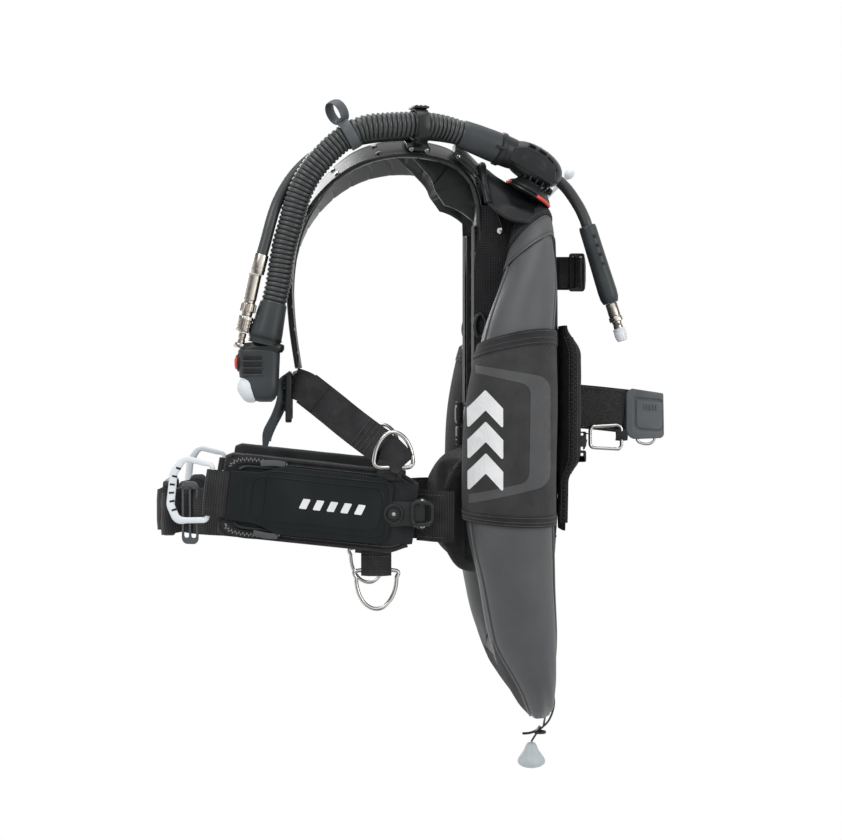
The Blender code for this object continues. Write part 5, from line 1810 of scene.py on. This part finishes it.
def make_flap(label, at):
    """The moulded flap: raised outlines on its face, a return round the front and the handle's bearing."""
    body = f"pouch_{label}"

    def face(u, v, w):
        bow = 0.7 * (1 - (v / 38) ** 2)
        return at(22.2 + w + bow, u, v)

    outline = rounded(((-100, -26.5), (-67, -28), (-43, -37), (66, -36), (78, -30), (78, 30), (66, 36),
                       (-43, 37), (-67, 28), (-99, 26.5)), (2, 12, 12, 8, 10, 10, 8, 12, 12, 2), 6)
    pieces = [moulding("face", outline, 3.6, face, 1.2)]
    pieces.append(block("return", (24, 3.6, 50), (0, 0, 0), bevel=1.4))
    turn = Matrix.Rotation(POCKET_LEAN, 4, "X")
    middle = at(9.2, -107.4, 0) * MM
    pieces[-1].data.transform(Matrix.Translation(middle) @ turn)
    flap = joined(f"flap_moulding_{label}", pieces)
    show(flap, "flap_rubber", body=body, replaces=[f"pouch_flap_{label}"], angle=45)
    loop = [at(x, y, 0) for x, y in ((19.4, -92), (21.6, -99.5), (21.8, -107), (19.6, -116), (16.4, -123),
                                     (12, -124.6), (8.4, -121.5), (7.8, -115), (9, -110))]
    webbing = strap(f"flap_webbing_{label}", smooth_route(loop, 2),
                    (0, math.sin(-POCKET_LEAN), math.cos(POCKET_LEAN)), 50, 2.4)
    show(webbing, "coarse_webbing", body=body)
    beads = []
    for low, high, left, right, radius in ((-24, 24, -74, 68, 12), (-30.5, 30.5, -60, 73, 9)):
        ring = oblong(left, low, right, high, radius, 9)
        line = [face(u, v, 1.75) for u, v in ring]
        beads.append(rod("bead", resampled(line + [line[0]], 2.5)[:-1], 0.85, sides=8, closed=True))
    beads.append(rod("bead", [face(-82, v, 1.7) for v in range(-22, 23, 2)], 0.9, sides=8))
    show(joined(f"flap_beads_{label}", beads), "flap_rubber", body=body)
    marks = []
    for number in range(5):
        u = -22 + 15 * number
        dash = ((u, -5.5), (u + 8, -5.5), (u + 12, 5.5), (u + 4, 5.5))
        marks.append(moulding("dash", rounded(dash, 0.9, 3), 0.5,
                              lambda a, b, w: face(a, b - 1, w + 1.95), 0))
    show(joined(f"flap_mark_{label}", marks), "printed_silver", body=body)


def make_pocket_zips(label, side, at):
    """A short U of zip above and below the flap's narrow front, its teeth showing, with a webbing pull."""
    for name, sign in EDGES:
        tape = [at(19.2, -40, sign * 38.5), at(19.4, -60, sign * 40), at(19.5, -80, sign * 40.5),
                at(19.6, -94, sign * 38), at(19.8, -99, sign * 33), at(19.8, -99, sign * 29.5)]
        points = smooth_route(tape, 2)
        outward = X_AXIS * side
        across = [outward.cross(forward).normalized() for forward in tangents(points)]
        show(strap(f"pocket_zip_tape_{name}_{label}", points, across, 9, 0.8), "binding")
        teeth = zip_teeth(f"pocket_zip_teeth_{name}_{label}", [p - outward * 0.2 for p in points],
                          across[0], outward, pitch=2.2, width=4.2)
        show(teeth, "zip_metal")
        lip = [at(18.6, -36, sign * 33), at(20.6, -60, sign * 33.5), at(21.2, -82, sign * 33),
               at(20.6, -90, sign * 29)]
        show(rod(f"pocket_zip_lip_{name}_{label}", smooth_route(lip, 2), 1.6, sides=8), "elastomer")
        tab = [at(21.6, -42, sign * 38.8), at(23, -52, sign * 39.6), at(23.2, -68, sign * 37.8)]
        show(strap(f"pocket_zip_pull_{name}_{label}", smooth_route(tab, 2), (0, 0.1, 1), 6.5, 1.6),
             "dark_loop", slot="grey_plastic")


def make_pull_handle(label, side, at):
    """The D-shaped pull ring, flattened at its grip, with six slots across the grip."""
    def section_at(y, z, x=13.0):
        return at(x, HANDLE_PIVOT + y, z)

    half = 34
    reach = 41.2
    corners = ((0, -half + 4), (0, half - 4), (-reach + 9, half), (-reach, half - 16), (-reach, -half + 16),
               (-reach + 9, -half))
    ring = rounded(corners, (5, 5, 9, 12, 12, 9), 8)
    line = resampled([section_at(y, z) for y, z in ring] + [section_at(*ring[0])], 1.6)[:-1]
    rows = []
    outward = X_AXIS * side
    for point, forward in zip(line, tangents(line, closed=True)):
        inward = outward.cross(forward).normalized()
        local = point - section_at(0, 0)
        grip = smoothstep(24, 36, -local.y)
        bar = 1 - smoothstep(2, 6, -local.y)
        wide = 3.2 + 1.2 * grip - 0.5 * bar
        deep = 3.6 - 0.3 * grip
        rows.append([point + inward * wide * bulged(math.cos(a), 0.7)
                     + outward * deep * bulged(math.sin(a), 0.7)
                     for a in turns(20)])
    handle = skin(f"pull_handle_ring_{label}", rows, closed_along=True)
    show(handle, "pale_plastic", body=f"handle_{label}", replaces=[f"pull_handle_{label}"], angle=50)
    slots = []
    for number in range(6):
        z = -22.5 + 9 * number
        y = -reach + 0.010 * z * z - 0.3
        slots.append(block("slot", (0.9, 5.6, 2.2), (0, 0, 0), Matrix.Rotation(math.radians(-z * 0.8), 3,
                                                                               "X"), bevel=0.4))
        spot = section_at(y, z, 13 + 3.2) * MM
        slots[-1].data.transform(Matrix.Translation(spot))
    show(joined(f"pull_handle_slots_{label}", slots), "binding", body=f"handle_{label}")


def make_weight_pockets():
    for label, side in SIDES:
        at = pocket_frame(side)
        make_holster(label, side, at)
        make_holster_fittings(label, side)
        make_pouch(label, at)
        make_flap(label, at)
        make_pocket_zips(label, side, at)
        make_pull_handle(label, side, at)


# ---------------------------------------------------------------- elbow and inflator

ELBOW_CENTRE = Vector((80, -40, 279))
ELBOW_FOOT = Vector((82, -47, 243.5))
ELBOW_LEAN = math.radians(-31)
ELBOW_UP = Vector((0, math.sin(math.radians(31)), math.cos(math.radians(31))))
INFLATOR_CENTRE = Vector((128, -347, 41))


def make_elbow():
    """The valve and elbow on the left shoulder: ribbed neck, red ring, dome and hose socket."""
    neck = ((0, 14.3), (19, 14.3), (19.6, 13.2), (18.2, 12.2), (19.6, 11.2), (18.2, 10.2), (19.6, 9.2),
            (20.5, 8.0), (23.6, 7.0), (24.4, 6.2), (24.4, 3.4), (27.2, 3.0), (28, 2.2), (28, 0.6),
            (27.2, 0), (0, 0))
    show(turned("elbow_neck", neck, ELBOW_FOOT, ELBOW_UP, steps=64), "black_plastic", replaces=["elbow_base"])
    turn = Z_AXIS.rotation_difference(ELBOW_UP).to_matrix()
    arcs = []
    for first, last in ((18, 112), (-84, -62)):
        arc = [ELBOW_FOOT + ELBOW_UP * 2.6 + turn @ Vector((27.0 * math.cos(a), 27.0 * math.sin(a), 0))
               for a in (math.radians(first + (last - first) * k / 24) for k in range(25))]
        arcs.append(rod("arc", arc, 2.1, sides=10))
    show(joined("elbow_red_ring", arcs), "red_plastic")
    cover = ((24.5, 3.6), (26.6, 3.6), (27.4, 4.6), (26.4, 7.2), (22.4, 10.4), (20.4, 13.6), (19.4, 13.6),
             (21.4, 9.4), (24.5, 6.6))
    guard = hoop("elbow_neck_guard", cover, ELBOW_FOOT, ELBOW_UP, steps=72,
                 ripple=lambda a, h: 1 - 0.05 * smoothstep(5, 9, h))
    show(guard, "elastomer")
    fins = []
    for angle in turns(18):
        turn = Z_AXIS.rotation_difference(ELBOW_UP).to_matrix() @ Matrix.Rotation(angle, 3, "Z")
        spot = ELBOW_FOOT + ELBOW_UP * 17.0 + turn @ Vector((20.5, 0, 0))
        fins.append(block("fin", (4.4, 1.4, 6), spot, turn, bevel=0.4))
    show(joined("elbow_gap_fins", fins), "black_plastic")
    make_elbow_dome()
    start, end = Vector((84, -58, 288)), Vector(HOSE_ROUTE[0])
    axis = (end - start).normalized()
    socket = ((0, 0), (15.4, 0), (16.4, 3), (17.2, 8), (17.6, 18.5), (18.3, 19.2), (18.3, 25.4),
              (17.4, 26), (0, 26))
    show(turned("elbow_hose_socket", socket, start, axis, steps=48), "black_plastic")
    clamp = ((18.2, 19.8), (19.2, 20.2), (19.2, 24.6), (18.2, 25.0))
    show(hoop("elbow_clamp", clamp, start, axis, steps=48), "black_plastic")
    latch = block("elbow_clamp_latch", (7, 3.2, 9), start + axis * 22.4 + X_AXIS * 18.6,
                  Z_AXIS.rotation_difference(axis).to_matrix(), bevel=0.8)
    show(latch, "black_plastic")
    length = (end - start).length - 26
    cuff = ((0, 0.4), (17.2, 0.4), (17.5, 3), (17.4, 8), (16.6, length - 12), (15.8, length - 2),
            (15.2, length + 4), (14.6, length + 4.6), (13, length + 4.4), (0, length - 0.8))
    show(turned("hose_cuff_shoulder", cuff, start + axis * 26, axis, steps=48), "cuff_rubber",
         replaces=["hose_cuff_upper"])


def make_elbow_dome():
    """The dome of the over-pressure valve, with its side panel, vents and ridges."""
    turn = Matrix.Rotation(ELBOW_LEAN, 3, "X")
    work = bmesh.new()
    bmesh.ops.create_uvsphere(work, u_segments=72, v_segments=40, radius=1)
    floor_at = 14.9
    for vert in work.verts:
        c = vert.co.copy()
        x = 29.6 * bulged(c.x, 0.92)
        y = 35.6 * bulged(c.y, 0.95)
        z = 20.6 * bulged(c.z, 0.86)
        side_flat = smoothstep(0.55, 0.9, abs(c.x))
        x = x * (1 - 0.10 * side_flat)
        rib = 0.5 * bump_at(z, -4.0, 1.1)
        p = turn @ Vector((x * (1 + rib / 30), y * (1 + rib / 35), z)) + ELBOW_CENTRE
        rise = (p - ELBOW_FOOT).dot(ELBOW_UP)
        if rise < floor_at:
            p += ELBOW_UP * (floor_at - rise)
        vert.co = p
    bmesh.ops.recalc_face_normals(work, faces=work.faces)
    dome = mesh_from("elbow_dome", work)
    show(dome, "black_plastic", replaces=["elbow_housing"], angle=50)

    def side_at(u, v, w):
        spread = 1 - 0.35 * min(1.0, (u / 36) ** 2 + (v / 21) ** 2)
        p = turn @ Vector((26.0 * math.sqrt(max(spread, 0.2)) + w, u, v))
        return ELBOW_CENTRE + p

    panel = rounded(((-27, -12), (27, -12), (30, -4), (22, 8), (6, 12), (-16, 11), (-27, 4)),
                    (3, 4, 6, 8, 10, 8, 4), 6)
    show(moulding("elbow_side_panel", panel, 3.0, side_at, 0.9), "elastomer", angle=40)
    vents = []
    for u, v, lean in ((-12, 15.2, 3), (2, 15.6, -4), (14, 12.4, -18), (23, 7.4, -34)):
        slot = block("vent", (3.0, 9.5, 1.8), (0, 0, 0), Matrix.Rotation(math.radians(lean), 3, "X"),
                     bevel=0.7)
        slot.data.transform(Matrix.Translation(side_at(u, v, -1.6) * MM) @ turn.to_4x4())
        vents.append(slot)
    show(joined("elbow_vents", vents), "binding")
    seams = []
    for number in range(5):
        u = -20 + 9 * number
        ridge = []
        for x in range(-22, 23, 2):
            rise = math.sqrt(max(0.02, 1 - (x / 30) ** 2 - (u / 36) ** 2))
            ridge.append(ELBOW_CENTRE + turn @ Vector((x, u, 20.8 * rise)))
        seams.append(rod("ridge", ridge, 0.7, sides=6))
    show(joined("elbow_dome_ridges", seams), "black_plastic")


def make_inflator():
    """The power inflator: a bellied body, its trim and cuff, and its two buttons."""
    rows = []
    x0, y0 = INFLATOR_CENTRE.x, INFLATOR_CENTRE.y
    stations = ((70.0, 15.2, 21.5, -0.5), (69.0, 16.0, 22.6, -0.5), (66.5, 16.0, 23, 0),
                (62, 15.6, 23, 0), (50, 15.2, 22.5, 0), (38, 15.6, 21.6, 0.4), (28, 15.9, 20.8, 0.8),
                (20, 14.4, 17.5, 2.2), (15, 10.5, 12.5, 4.6), (12.4, 5.5, 6.5, 6.8))
    fine = smooth_route([(z, hx, hy) for z, hx, hy, _ in stations], 1.6)
    shifts = smooth_route([(z, s, 0) for z, _, _, s in stations], 1.6)
    for z, half_x, half_y in fine:
        y = y0 + min(shifts, key=lambda q: abs(q.x - z)).y
        rows.append([(x0 + half_x * bulged(math.cos(a), 0.62), y + half_y * bulged(math.sin(a), 0.72), z)
                     for a in turns(56)])
    show(skin("inflator_shell", rows), "cuff_rubber", slot="black_plastic", replaces=["inflator_body"],
         angle=60)
    make_inflator_trim(x0, y0)
    make_inflate_button()
    make_deflate_cap()
    make_inflator_cuff()


def make_inflator_trim(x0, y0):
    """The lip round the top of the body, and the slots and ribs on its sides."""
    lip = [(x0 + 15.6 * bulged(math.cos(a), 0.62),
            y0 + 3.2 + 24.6 * bulged(math.sin(a), 0.72)) for a in turns(56)]
    rows = [[(x0 + (x - x0) * grow, y0 + (y - y0) * grow, z + 0.06 * (y - y0)) for x, y in lip] for z,
            grow in ((65, 0.92), (67.6, 0.98), (68.4, 1.0), (72.6, 1.0), (73.4, 0.98), (74.6, 0.86),
                     (78.6, 0.72))]
    show(skin("inflator_lip", rows), "black_plastic", angle=40)
    slots, ribs = [], []
    for side in (1, -1):
        for number in range(3):
            z = 61 - 7.6 * number
            slots.append(block("slot", (2.0, 21, 4.2), (x0 + side * 15.5, y0 - 7, z), bevel=0.9))
            ribs.append(block("rib", (2.4, 24, 2.0), (x0 + side * 15.4, y0 - 7, z - 3.8), bevel=0.8))
    show(joined("inflator_slots", slots), "binding")
    show(joined("inflator_ribs", ribs), "cuff_rubber", slot="black_plastic")


def make_inflate_button():
    """The red button in its rim, with two raised rings."""
    inflate_at = Vector((128, -370, 56))
    rim = ((8.4, -3), (10.2, -3), (10.2, 0.2), (9.4, 1.0), (8.4, 0.4))
    show(hoop("inflate_button_rim", rim, inflate_at, -Y_AXIS, steps=40), "black_plastic")
    button = ((0, 3.5), (4.5, 3.5), (7.0, 3.2), (7.9, 2.4), (8.0, 1.0), (8.0, -6), (0, -6))
    show(turned("inflate_button_cap", button, inflate_at, -Y_AXIS, steps=48), "red_plastic",
         body="inflate_button", replaces=["inflate_button"])
    grips = [rod("ring", ellipse(inflate_at - Y_AXIS * 3.5, X_AXIS * r, Z_AXIS * r, 32), 0.4, 6, closed=True)
             for r in (2.2, 4.4)]
    show(joined("inflate_button_rings", grips), "red_plastic", body="inflate_button")


def make_deflate_cap():
    """The pale bell-shaped exhaust button under the body."""
    rows = []
    for k in range(1, 24):
        rise = -math.cos(math.pi * k / 24)
        row = []
        for a in turns(48):
            out = math.sqrt(1 - rise * rise) ** 0.7
            local = Vector((16.9 * out * bulged(math.cos(a), 0.7),
                            10.2 * out * bulged(math.sin(a), 0.85), 15.4 * rise))
            local.y += 0.34 * max(0.0, -local.z)
            row.append(Vector((128, -361, 27)) + local)
        rows.append(row)
    show(skin("deflate_button_cap", rows), "pale_plastic", body="deflate_button",
         replaces=["deflate_button"], angle=80)


def make_inflator_cuff():
    """The cuff where the corrugated hose goes onto the inflator, and its tie."""
    top, foot = Vector(HOSE_ROUTE[-1]), Vector((128, -342, 75.5))
    length = (top - foot).length
    cuff = ((0, 0), (17.2, 0), (17.8, 1.0), (17.2, 2.2), (17.8, 3.4), (17.2, 4.6), (18.2, 7), (18.0, 14),
            (16.6, length - 14), (15.6, length - 4), (15.1, length + 3.4), (14.4, length + 4),
            (0, length + 2))
    show(turned("hose_cuff_inflator", cuff, foot, top - foot, steps=48), "cuff_rubber",
         replaces=["hose_cuff_lower"])
    band = ((17.9, 6), (18.8, 6.4), (18.8, 8.4), (17.9, 8.8))
    show(hoop("hose_cuff_tie", band, foot, top - foot, steps=48), "black_plastic")


CONNECTOR_BASE = Vector((130, -368.5, 71))
CONNECTOR_AXIS = Vector((0, 0.21, 0.978)).normalized()


def knurl(depth, count):
    """A ripple of square ridges for a turned piece."""
    return lambda angle, height: 1 + depth * (1 if math.cos(angle * count) > 0 else -1)


def make_quick_connect():
    """The nipple, the knurled collar that slides on it, and the hose-end socket."""
    base = CONNECTOR_BASE
    nipple = ((0, 17.8), (3.6, 17.8), (4.4, 17), (4.4, 13), (3.8, 12.4), (3.8, 10.6), (4.4, 10),
              (4.4, 6.4), (6.6, 5.8), (7.0, 5), (7.0, 1.6), (6.4, 0.8), (0, 0.8))
    show(turned("connector_nipple", nipple, base, CONNECTOR_AXIS, steps=36), "nickel",
         replaces=["quick_connect_nipple"])
    collar = ((6.5, 19.2), (8.0, 19.2), (8.4, 20), (8.4, 22), (7.6, 22.4), (7.6, 23.6), (8.4, 24),
              (8.4, 26), (7.6, 26.4), (7.6, 27.6), (8.4, 28), (8.4, 30), (7.6, 30.4), (7.6, 31.6),
              (8.4, 32), (8.4, 35), (8.0, 36), (6.5, 36))
    sleeve = hoop("connector_collar", collar, base, CONNECTOR_AXIS, steps=96, ripple=knurl(0.012, 24))
    show(sleeve, "nickel", body="connector_sleeve", replaces=["quick_connect_sleeve"], angle=30)
    socket = ((0, 18.4), (6.0, 18.4), (6.0, 37.0), (6.3, 37.4), (6.3, 40.6), (8.2, 41.2), (8.6, 42.2),
              (8.6, 49.8), (8.0, 50.6), (6.6, 51.2), (6.6, 54), (7.2, 54.6), (7.2, 82), (7.6, 82.6),
              (7.6, 83.4), (0, 83.5))
    body = turned("connector_socket", socket, base, CONNECTOR_AXIS, steps=96,
                  ripple=lambda a, h: knurl(0.05, 10)(a, h) if 42 < h < 50 else 1)
    show(body, "nickel", replaces=["quick_connect_socket"], angle=30)
    return body


def make_supply_end():
    """The loose end of the supply hose: grip sleeve, fitting and dust cap."""
    axis = (SLEEVE_BOTTOM - SLEEVE_TOP).normalized()
    length = (SLEEVE_BOTTOM - SLEEVE_TOP).length
    profile = ((7.2, 0), (8.9, 0), (9.6, 0.8), (10.0, 4), (10.2, 30), (10.6, 56), (11.0, length - 14),
               (10.6, length - 6), (9.0, length - 1), (8.2, length), (7.2, length))
    sleeve = hoop("hose_sleeve_grip", profile, SLEEVE_TOP, axis, steps=48)
    show(sleeve, "cuff_rubber", replaces=["hose_sleeve"], angle=50)
    side = axis.cross(Y_AXIS).normalized()
    if side.x < 0:
        side = -side
    rear = side.cross(axis).normalized()
    holes = []
    for lean in (0.35, -1.1, 2.2):
        outward = (side * math.cos(lean) + rear * math.sin(lean)).normalized()
        turn = Matrix((axis.cross(outward).normalized(), axis, outward)).transposed()
        for number in range(4):
            spot = SLEEVE_TOP + axis * (14 + 11 * number) + outward * 9.6
            holes.append(block("hole", (4.4, 4.6, 1.7), spot, turn, bevel=0.6))
    show(joined("hose_sleeve_windows", holes), "binding")
    fitting = ((0, 0.4), (6.4, 0.4), (6.8, 1.2), (6.8, 15), (6.2, 15.8), (7.4, 16.4), (7.8, 17),
               (7.8, 21.4), (7.2, 22), (5.4, 22.4), (5.4, 24), (4.9, 24.5), (5.4, 25), (4.9, 25.6),
               (5.4, 26.2), (4.9, 26.8), (5.4, 27.4), (5.0, 34), (0, 34))
    metal = turned("supply_fitting_metal", fitting, SLEEVE_BOTTOM, axis, steps=72,
                   ripple=lambda a, h: 1 + 0.03 * math.cos(6 * a) if 16.3 < h < 21.5 else 1)
    show(metal, "nickel", replaces=["supply_fitting"], angle=35)
    cap_profile = ((5.6, 8), (6.6, 8), (7.0, 8.8), (7.0, 15), (6.8, 19), (5.8, 22), (4, 23), (0, 23.2),
                   (0, 13), (5.6, 13))
    cap = turned("dust_cap_plastic", cap_profile, SLEEVE_BOTTOM + axis * 22.4, axis, steps=60,
                 ripple=lambda a, h: 1 + 0.02 * math.cos(20 * a) if 9 < h < 18 else 1)
    show(cap, "clear_cap", body="hose_cap", replaces=["dust_cap"], angle=50)
    return sleeve, metal, cap


def make_ferrules(supply_points):
    """The crimped ferrule at the inflator end of the supply hose."""
    made = []
    first, second = supply_points[0], supply_points[3]
    axis = (second - first).normalized()
    profile = ((6.6, -1), (7.6, -1), (7.9, 0), (7.9, 20), (7.5, 21), (6.6, 21))
    made.append(hoop("supply_ferrule", profile, first, axis, steps=40))
    show(made[0], "nickel", angle=30)
    ring = ((6.6, 3), (8.2, 3), (8.2, 5), (6.6, 5))
    made.append(hoop("supply_ferrule_crimp", ring, first, axis, steps=40))
    show(made[1], "nickel", angle=30)
    return made


# ---------------------------------------------------------------- hose clips and dump valves

def make_hose_clips():
    """The strap with a ring on the corrugated hose, and the clip that holds it to the shoulder."""
    points = smooth_route(HOSE_ROUTE, 5)
    directions = tangents(points)
    for name, y in (("hose_ring_strap", -247), ("hose_clip", -170)):
        i = min(range(1, len(points) - 1), key=lambda k: abs(points[k].y - y) + (points[k].z < 250) * 999)
        at, along = points[i], directions[i]
        up = (Z_AXIS - along * along.z).normalized()
        across = along.cross(up).normalized()
        if across.x < 0:
            across = -across
        turn = Matrix((along, across, up)).transposed()
        if name == "hose_clip":
            profile = ((15.2, 6.4), (17.2, 7.4), (17.8, 6.4), (17.8, -6.4), (17.2, -7.4), (15.2, -6.4))
            pieces = [hoop("band", profile, at, along, steps=56)]
            top = at + up * 18.4
            pieces.append(block("cap", (17, 22, 2.6), top, turn, bevel=0.9))
            for number in range(3):
                pieces.append(block("stud", (3, 16, 1.6), top + up * 1.6 + along * (number - 1) * 5, turn,
                                    bevel=0.6))
            drop = [at + across * 18.2 + up * 8, at + across * 19 - up * 4, at + across * 16 - up * 14,
                    at + across * 9 - up * 21]
            pieces.append(strap("blade", smooth_route(drop, 2), along, 13, 2.2))
            tab = [Vector((at.x - 17.4, at.y, z)) for z in (301, 306, 312, at.z - 4)]
            pieces.append(strap("tab", tab, Y_AXIS, 12, 2.4))
            show(joined("hose_clip_band", pieces), "black_plastic", replaces=["hose_clip"])
        else:
            profile = ((14.8, 5), (16.6, 6), (17.4, 5), (17.4, -5), (16.6, -6), (14.8, -5))
            pieces = [hoop("band", profile, at, along, steps=56)]
            eye_centre = at + up * 28
            lean = (along * 0.72 + across * 0.69).normalized()
            wide = lean.cross(up).normalized()
            ring = ellipse(eye_centre, wide * 9.5, up * 13, 48)
            pieces.append(strap("loop", ring, [lean] * 48, 14, 2.4, closed=True))
            pieces.append(block("root", (10, 12, 6), at + up * 17.5, turn, bevel=1.8))
            show(joined("hose_ring_loop", pieces), "dark_loop", slot="black_plastic",
                 replaces=["hose_ring_strap"])


def make_lower_dump():
    """The lower dump valve, the knob on its cord and the cord guide."""
    profile = ((0, 7.2), (6, 7.2), (7, 6.0), (12, 6.4), (14, 7.0), (16, 6.6), (19, 5), (20.6, 2.6),
               (21, 0.4), (0, 0))
    valve = turned("dump_valve_cover", profile, (60, -19.5, -296), Y_AXIS, steps=72,
                   ripple=lambda a, h: 1 + (0.02 * math.cos(12 * a) if h < 3 else 0))
    show(valve, "black_plastic", replaces=["dump_valve_body"])
    slots = []
    for a in turns(10):
        spot = Vector((60 + 10.4 * math.cos(a), -12.9, -296 + 10.4 * math.sin(a)))
        slots.append(block("slot", (1.8, 1.4, 5.5), spot, Matrix.Rotation(math.pi / 2 - a, 3, "Y"),
                           bevel=0.5))
    show(joined("dump_valve_slots", slots), "binding")
    x, y, z = KNOB_TOP
    profile = ((0, 0.2), (3.4, 0.2), (5.4, -1.2), (6.6, -4), (8.2, -8), (11.8, -13), (15.0, -18),
               (15.6, -21), (14.4, -24), (10.5, -27), (6, -28.4), (0, -28.6))
    knob = turned("dump_knob_bell", profile, (x, y, z - 1), Z_AXIS, steps=72,
                  ripple=lambda a, h: 1 + 0.055 * smoothstep(-6, -22, h) * (abs(math.cos(2.5 * a)) * 2 - 1.2))
    show(knob, "knob_plastic", body="dump_pull", replaces=["dump_knob"], angle=50)
    ring = ellipse(Vector((60, -29, -366)), X_AXIS * 4.6, Y_AXIS * 5.4, 32)
    pieces = [rod("eye", ring, 1.9, sides=10, closed=True)]
    tongue = [(60, -29, -359), (60, -33, -364), (60, -41, -367), (60, -49, -367.5)]
    pieces.append(strap("tongue", smooth_route(tongue, 2), X_AXIS, 9, 2.2))
    stem = [(60, -24, -330), (60, -23, -346), (60, -25, -358)]
    pieces.append(strap("stem", smooth_route(stem, 2), X_AXIS, 8, 1.8))
    show(joined("dump_cord_guide", pieces), "elastomer")
    return knob


def make_shoulder_dump():
    """The shoulder dump valve and its pull knob."""
    base, tip = Vector((-50, -22, 240)), Vector((-50, 21, 285))
    axis = (tip - base).normalized()
    reach = (tip - base).length
    valve = ((3.4, 9), (8, 9.2), (12, 8.8), (15, 7.4), (17, 5.6), (18, 2.6), (18, 0.4), (3.4, 0.4))
    show(hoop("shoulder_valve_cover", valve, base, axis, steps=64,
              ripple=lambda a, h: 1 + (0.02 * math.cos(14 * a) if h < 5 else 0)), "black_plastic",
         replaces=["shoulder_dump_valve"])
    knob = ((0, reach + 0.5), (3.6, reach), (5.4, reach - 2), (6.2, reach - 6), (5.6, reach - 9),
            (4, reach - 11.5), (2.6, reach - 13), (2.6, 2), (0, 2))
    show(turned("shoulder_dump_grip", knob, base, axis, steps=60,
                ripple=lambda a, h: 1 + (0.05 * math.cos(6 * a) if h > reach - 9 else 0)), "pale_plastic",
         body="shoulder_dump_pull", replaces=["shoulder_dump_knob"], angle=50)


# ---------------------------------------------------------------- build

make_materials()
make_camera()
make_stage()
supply_hose, supply_points, dump_cord, pull_points = make_cords()
make_air_cell()
make_side_panels()
make_back()
make_rear_bolsters()
make_carry_handle()
make_back_sides()
make_tank_band()
make_upper_tank_strap()
make_shoulder_straps()
make_shoulder_yokes()
make_collars()
make_shoulder_buckles()
make_shoulder_webbing()
make_rings()
make_waist_belts()
make_waist_buckle()
make_weight_pockets()
make_elbow()
make_inflator()
make_hose_clips()
make_shoulder_dump()
connector = make_quick_connect()
supply_pieces = [connector, *make_supply_end(), *make_ferrules(supply_points)]
length_of(supply_points) * MM
dump_knob = make_lower_dump()
length_of(pull_points) * MM

for node_name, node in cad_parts.items():
    if not node.hide_render:
        node.data.materials.clear()
        node.data.materials.append(MATERIALS["black_plastic"])
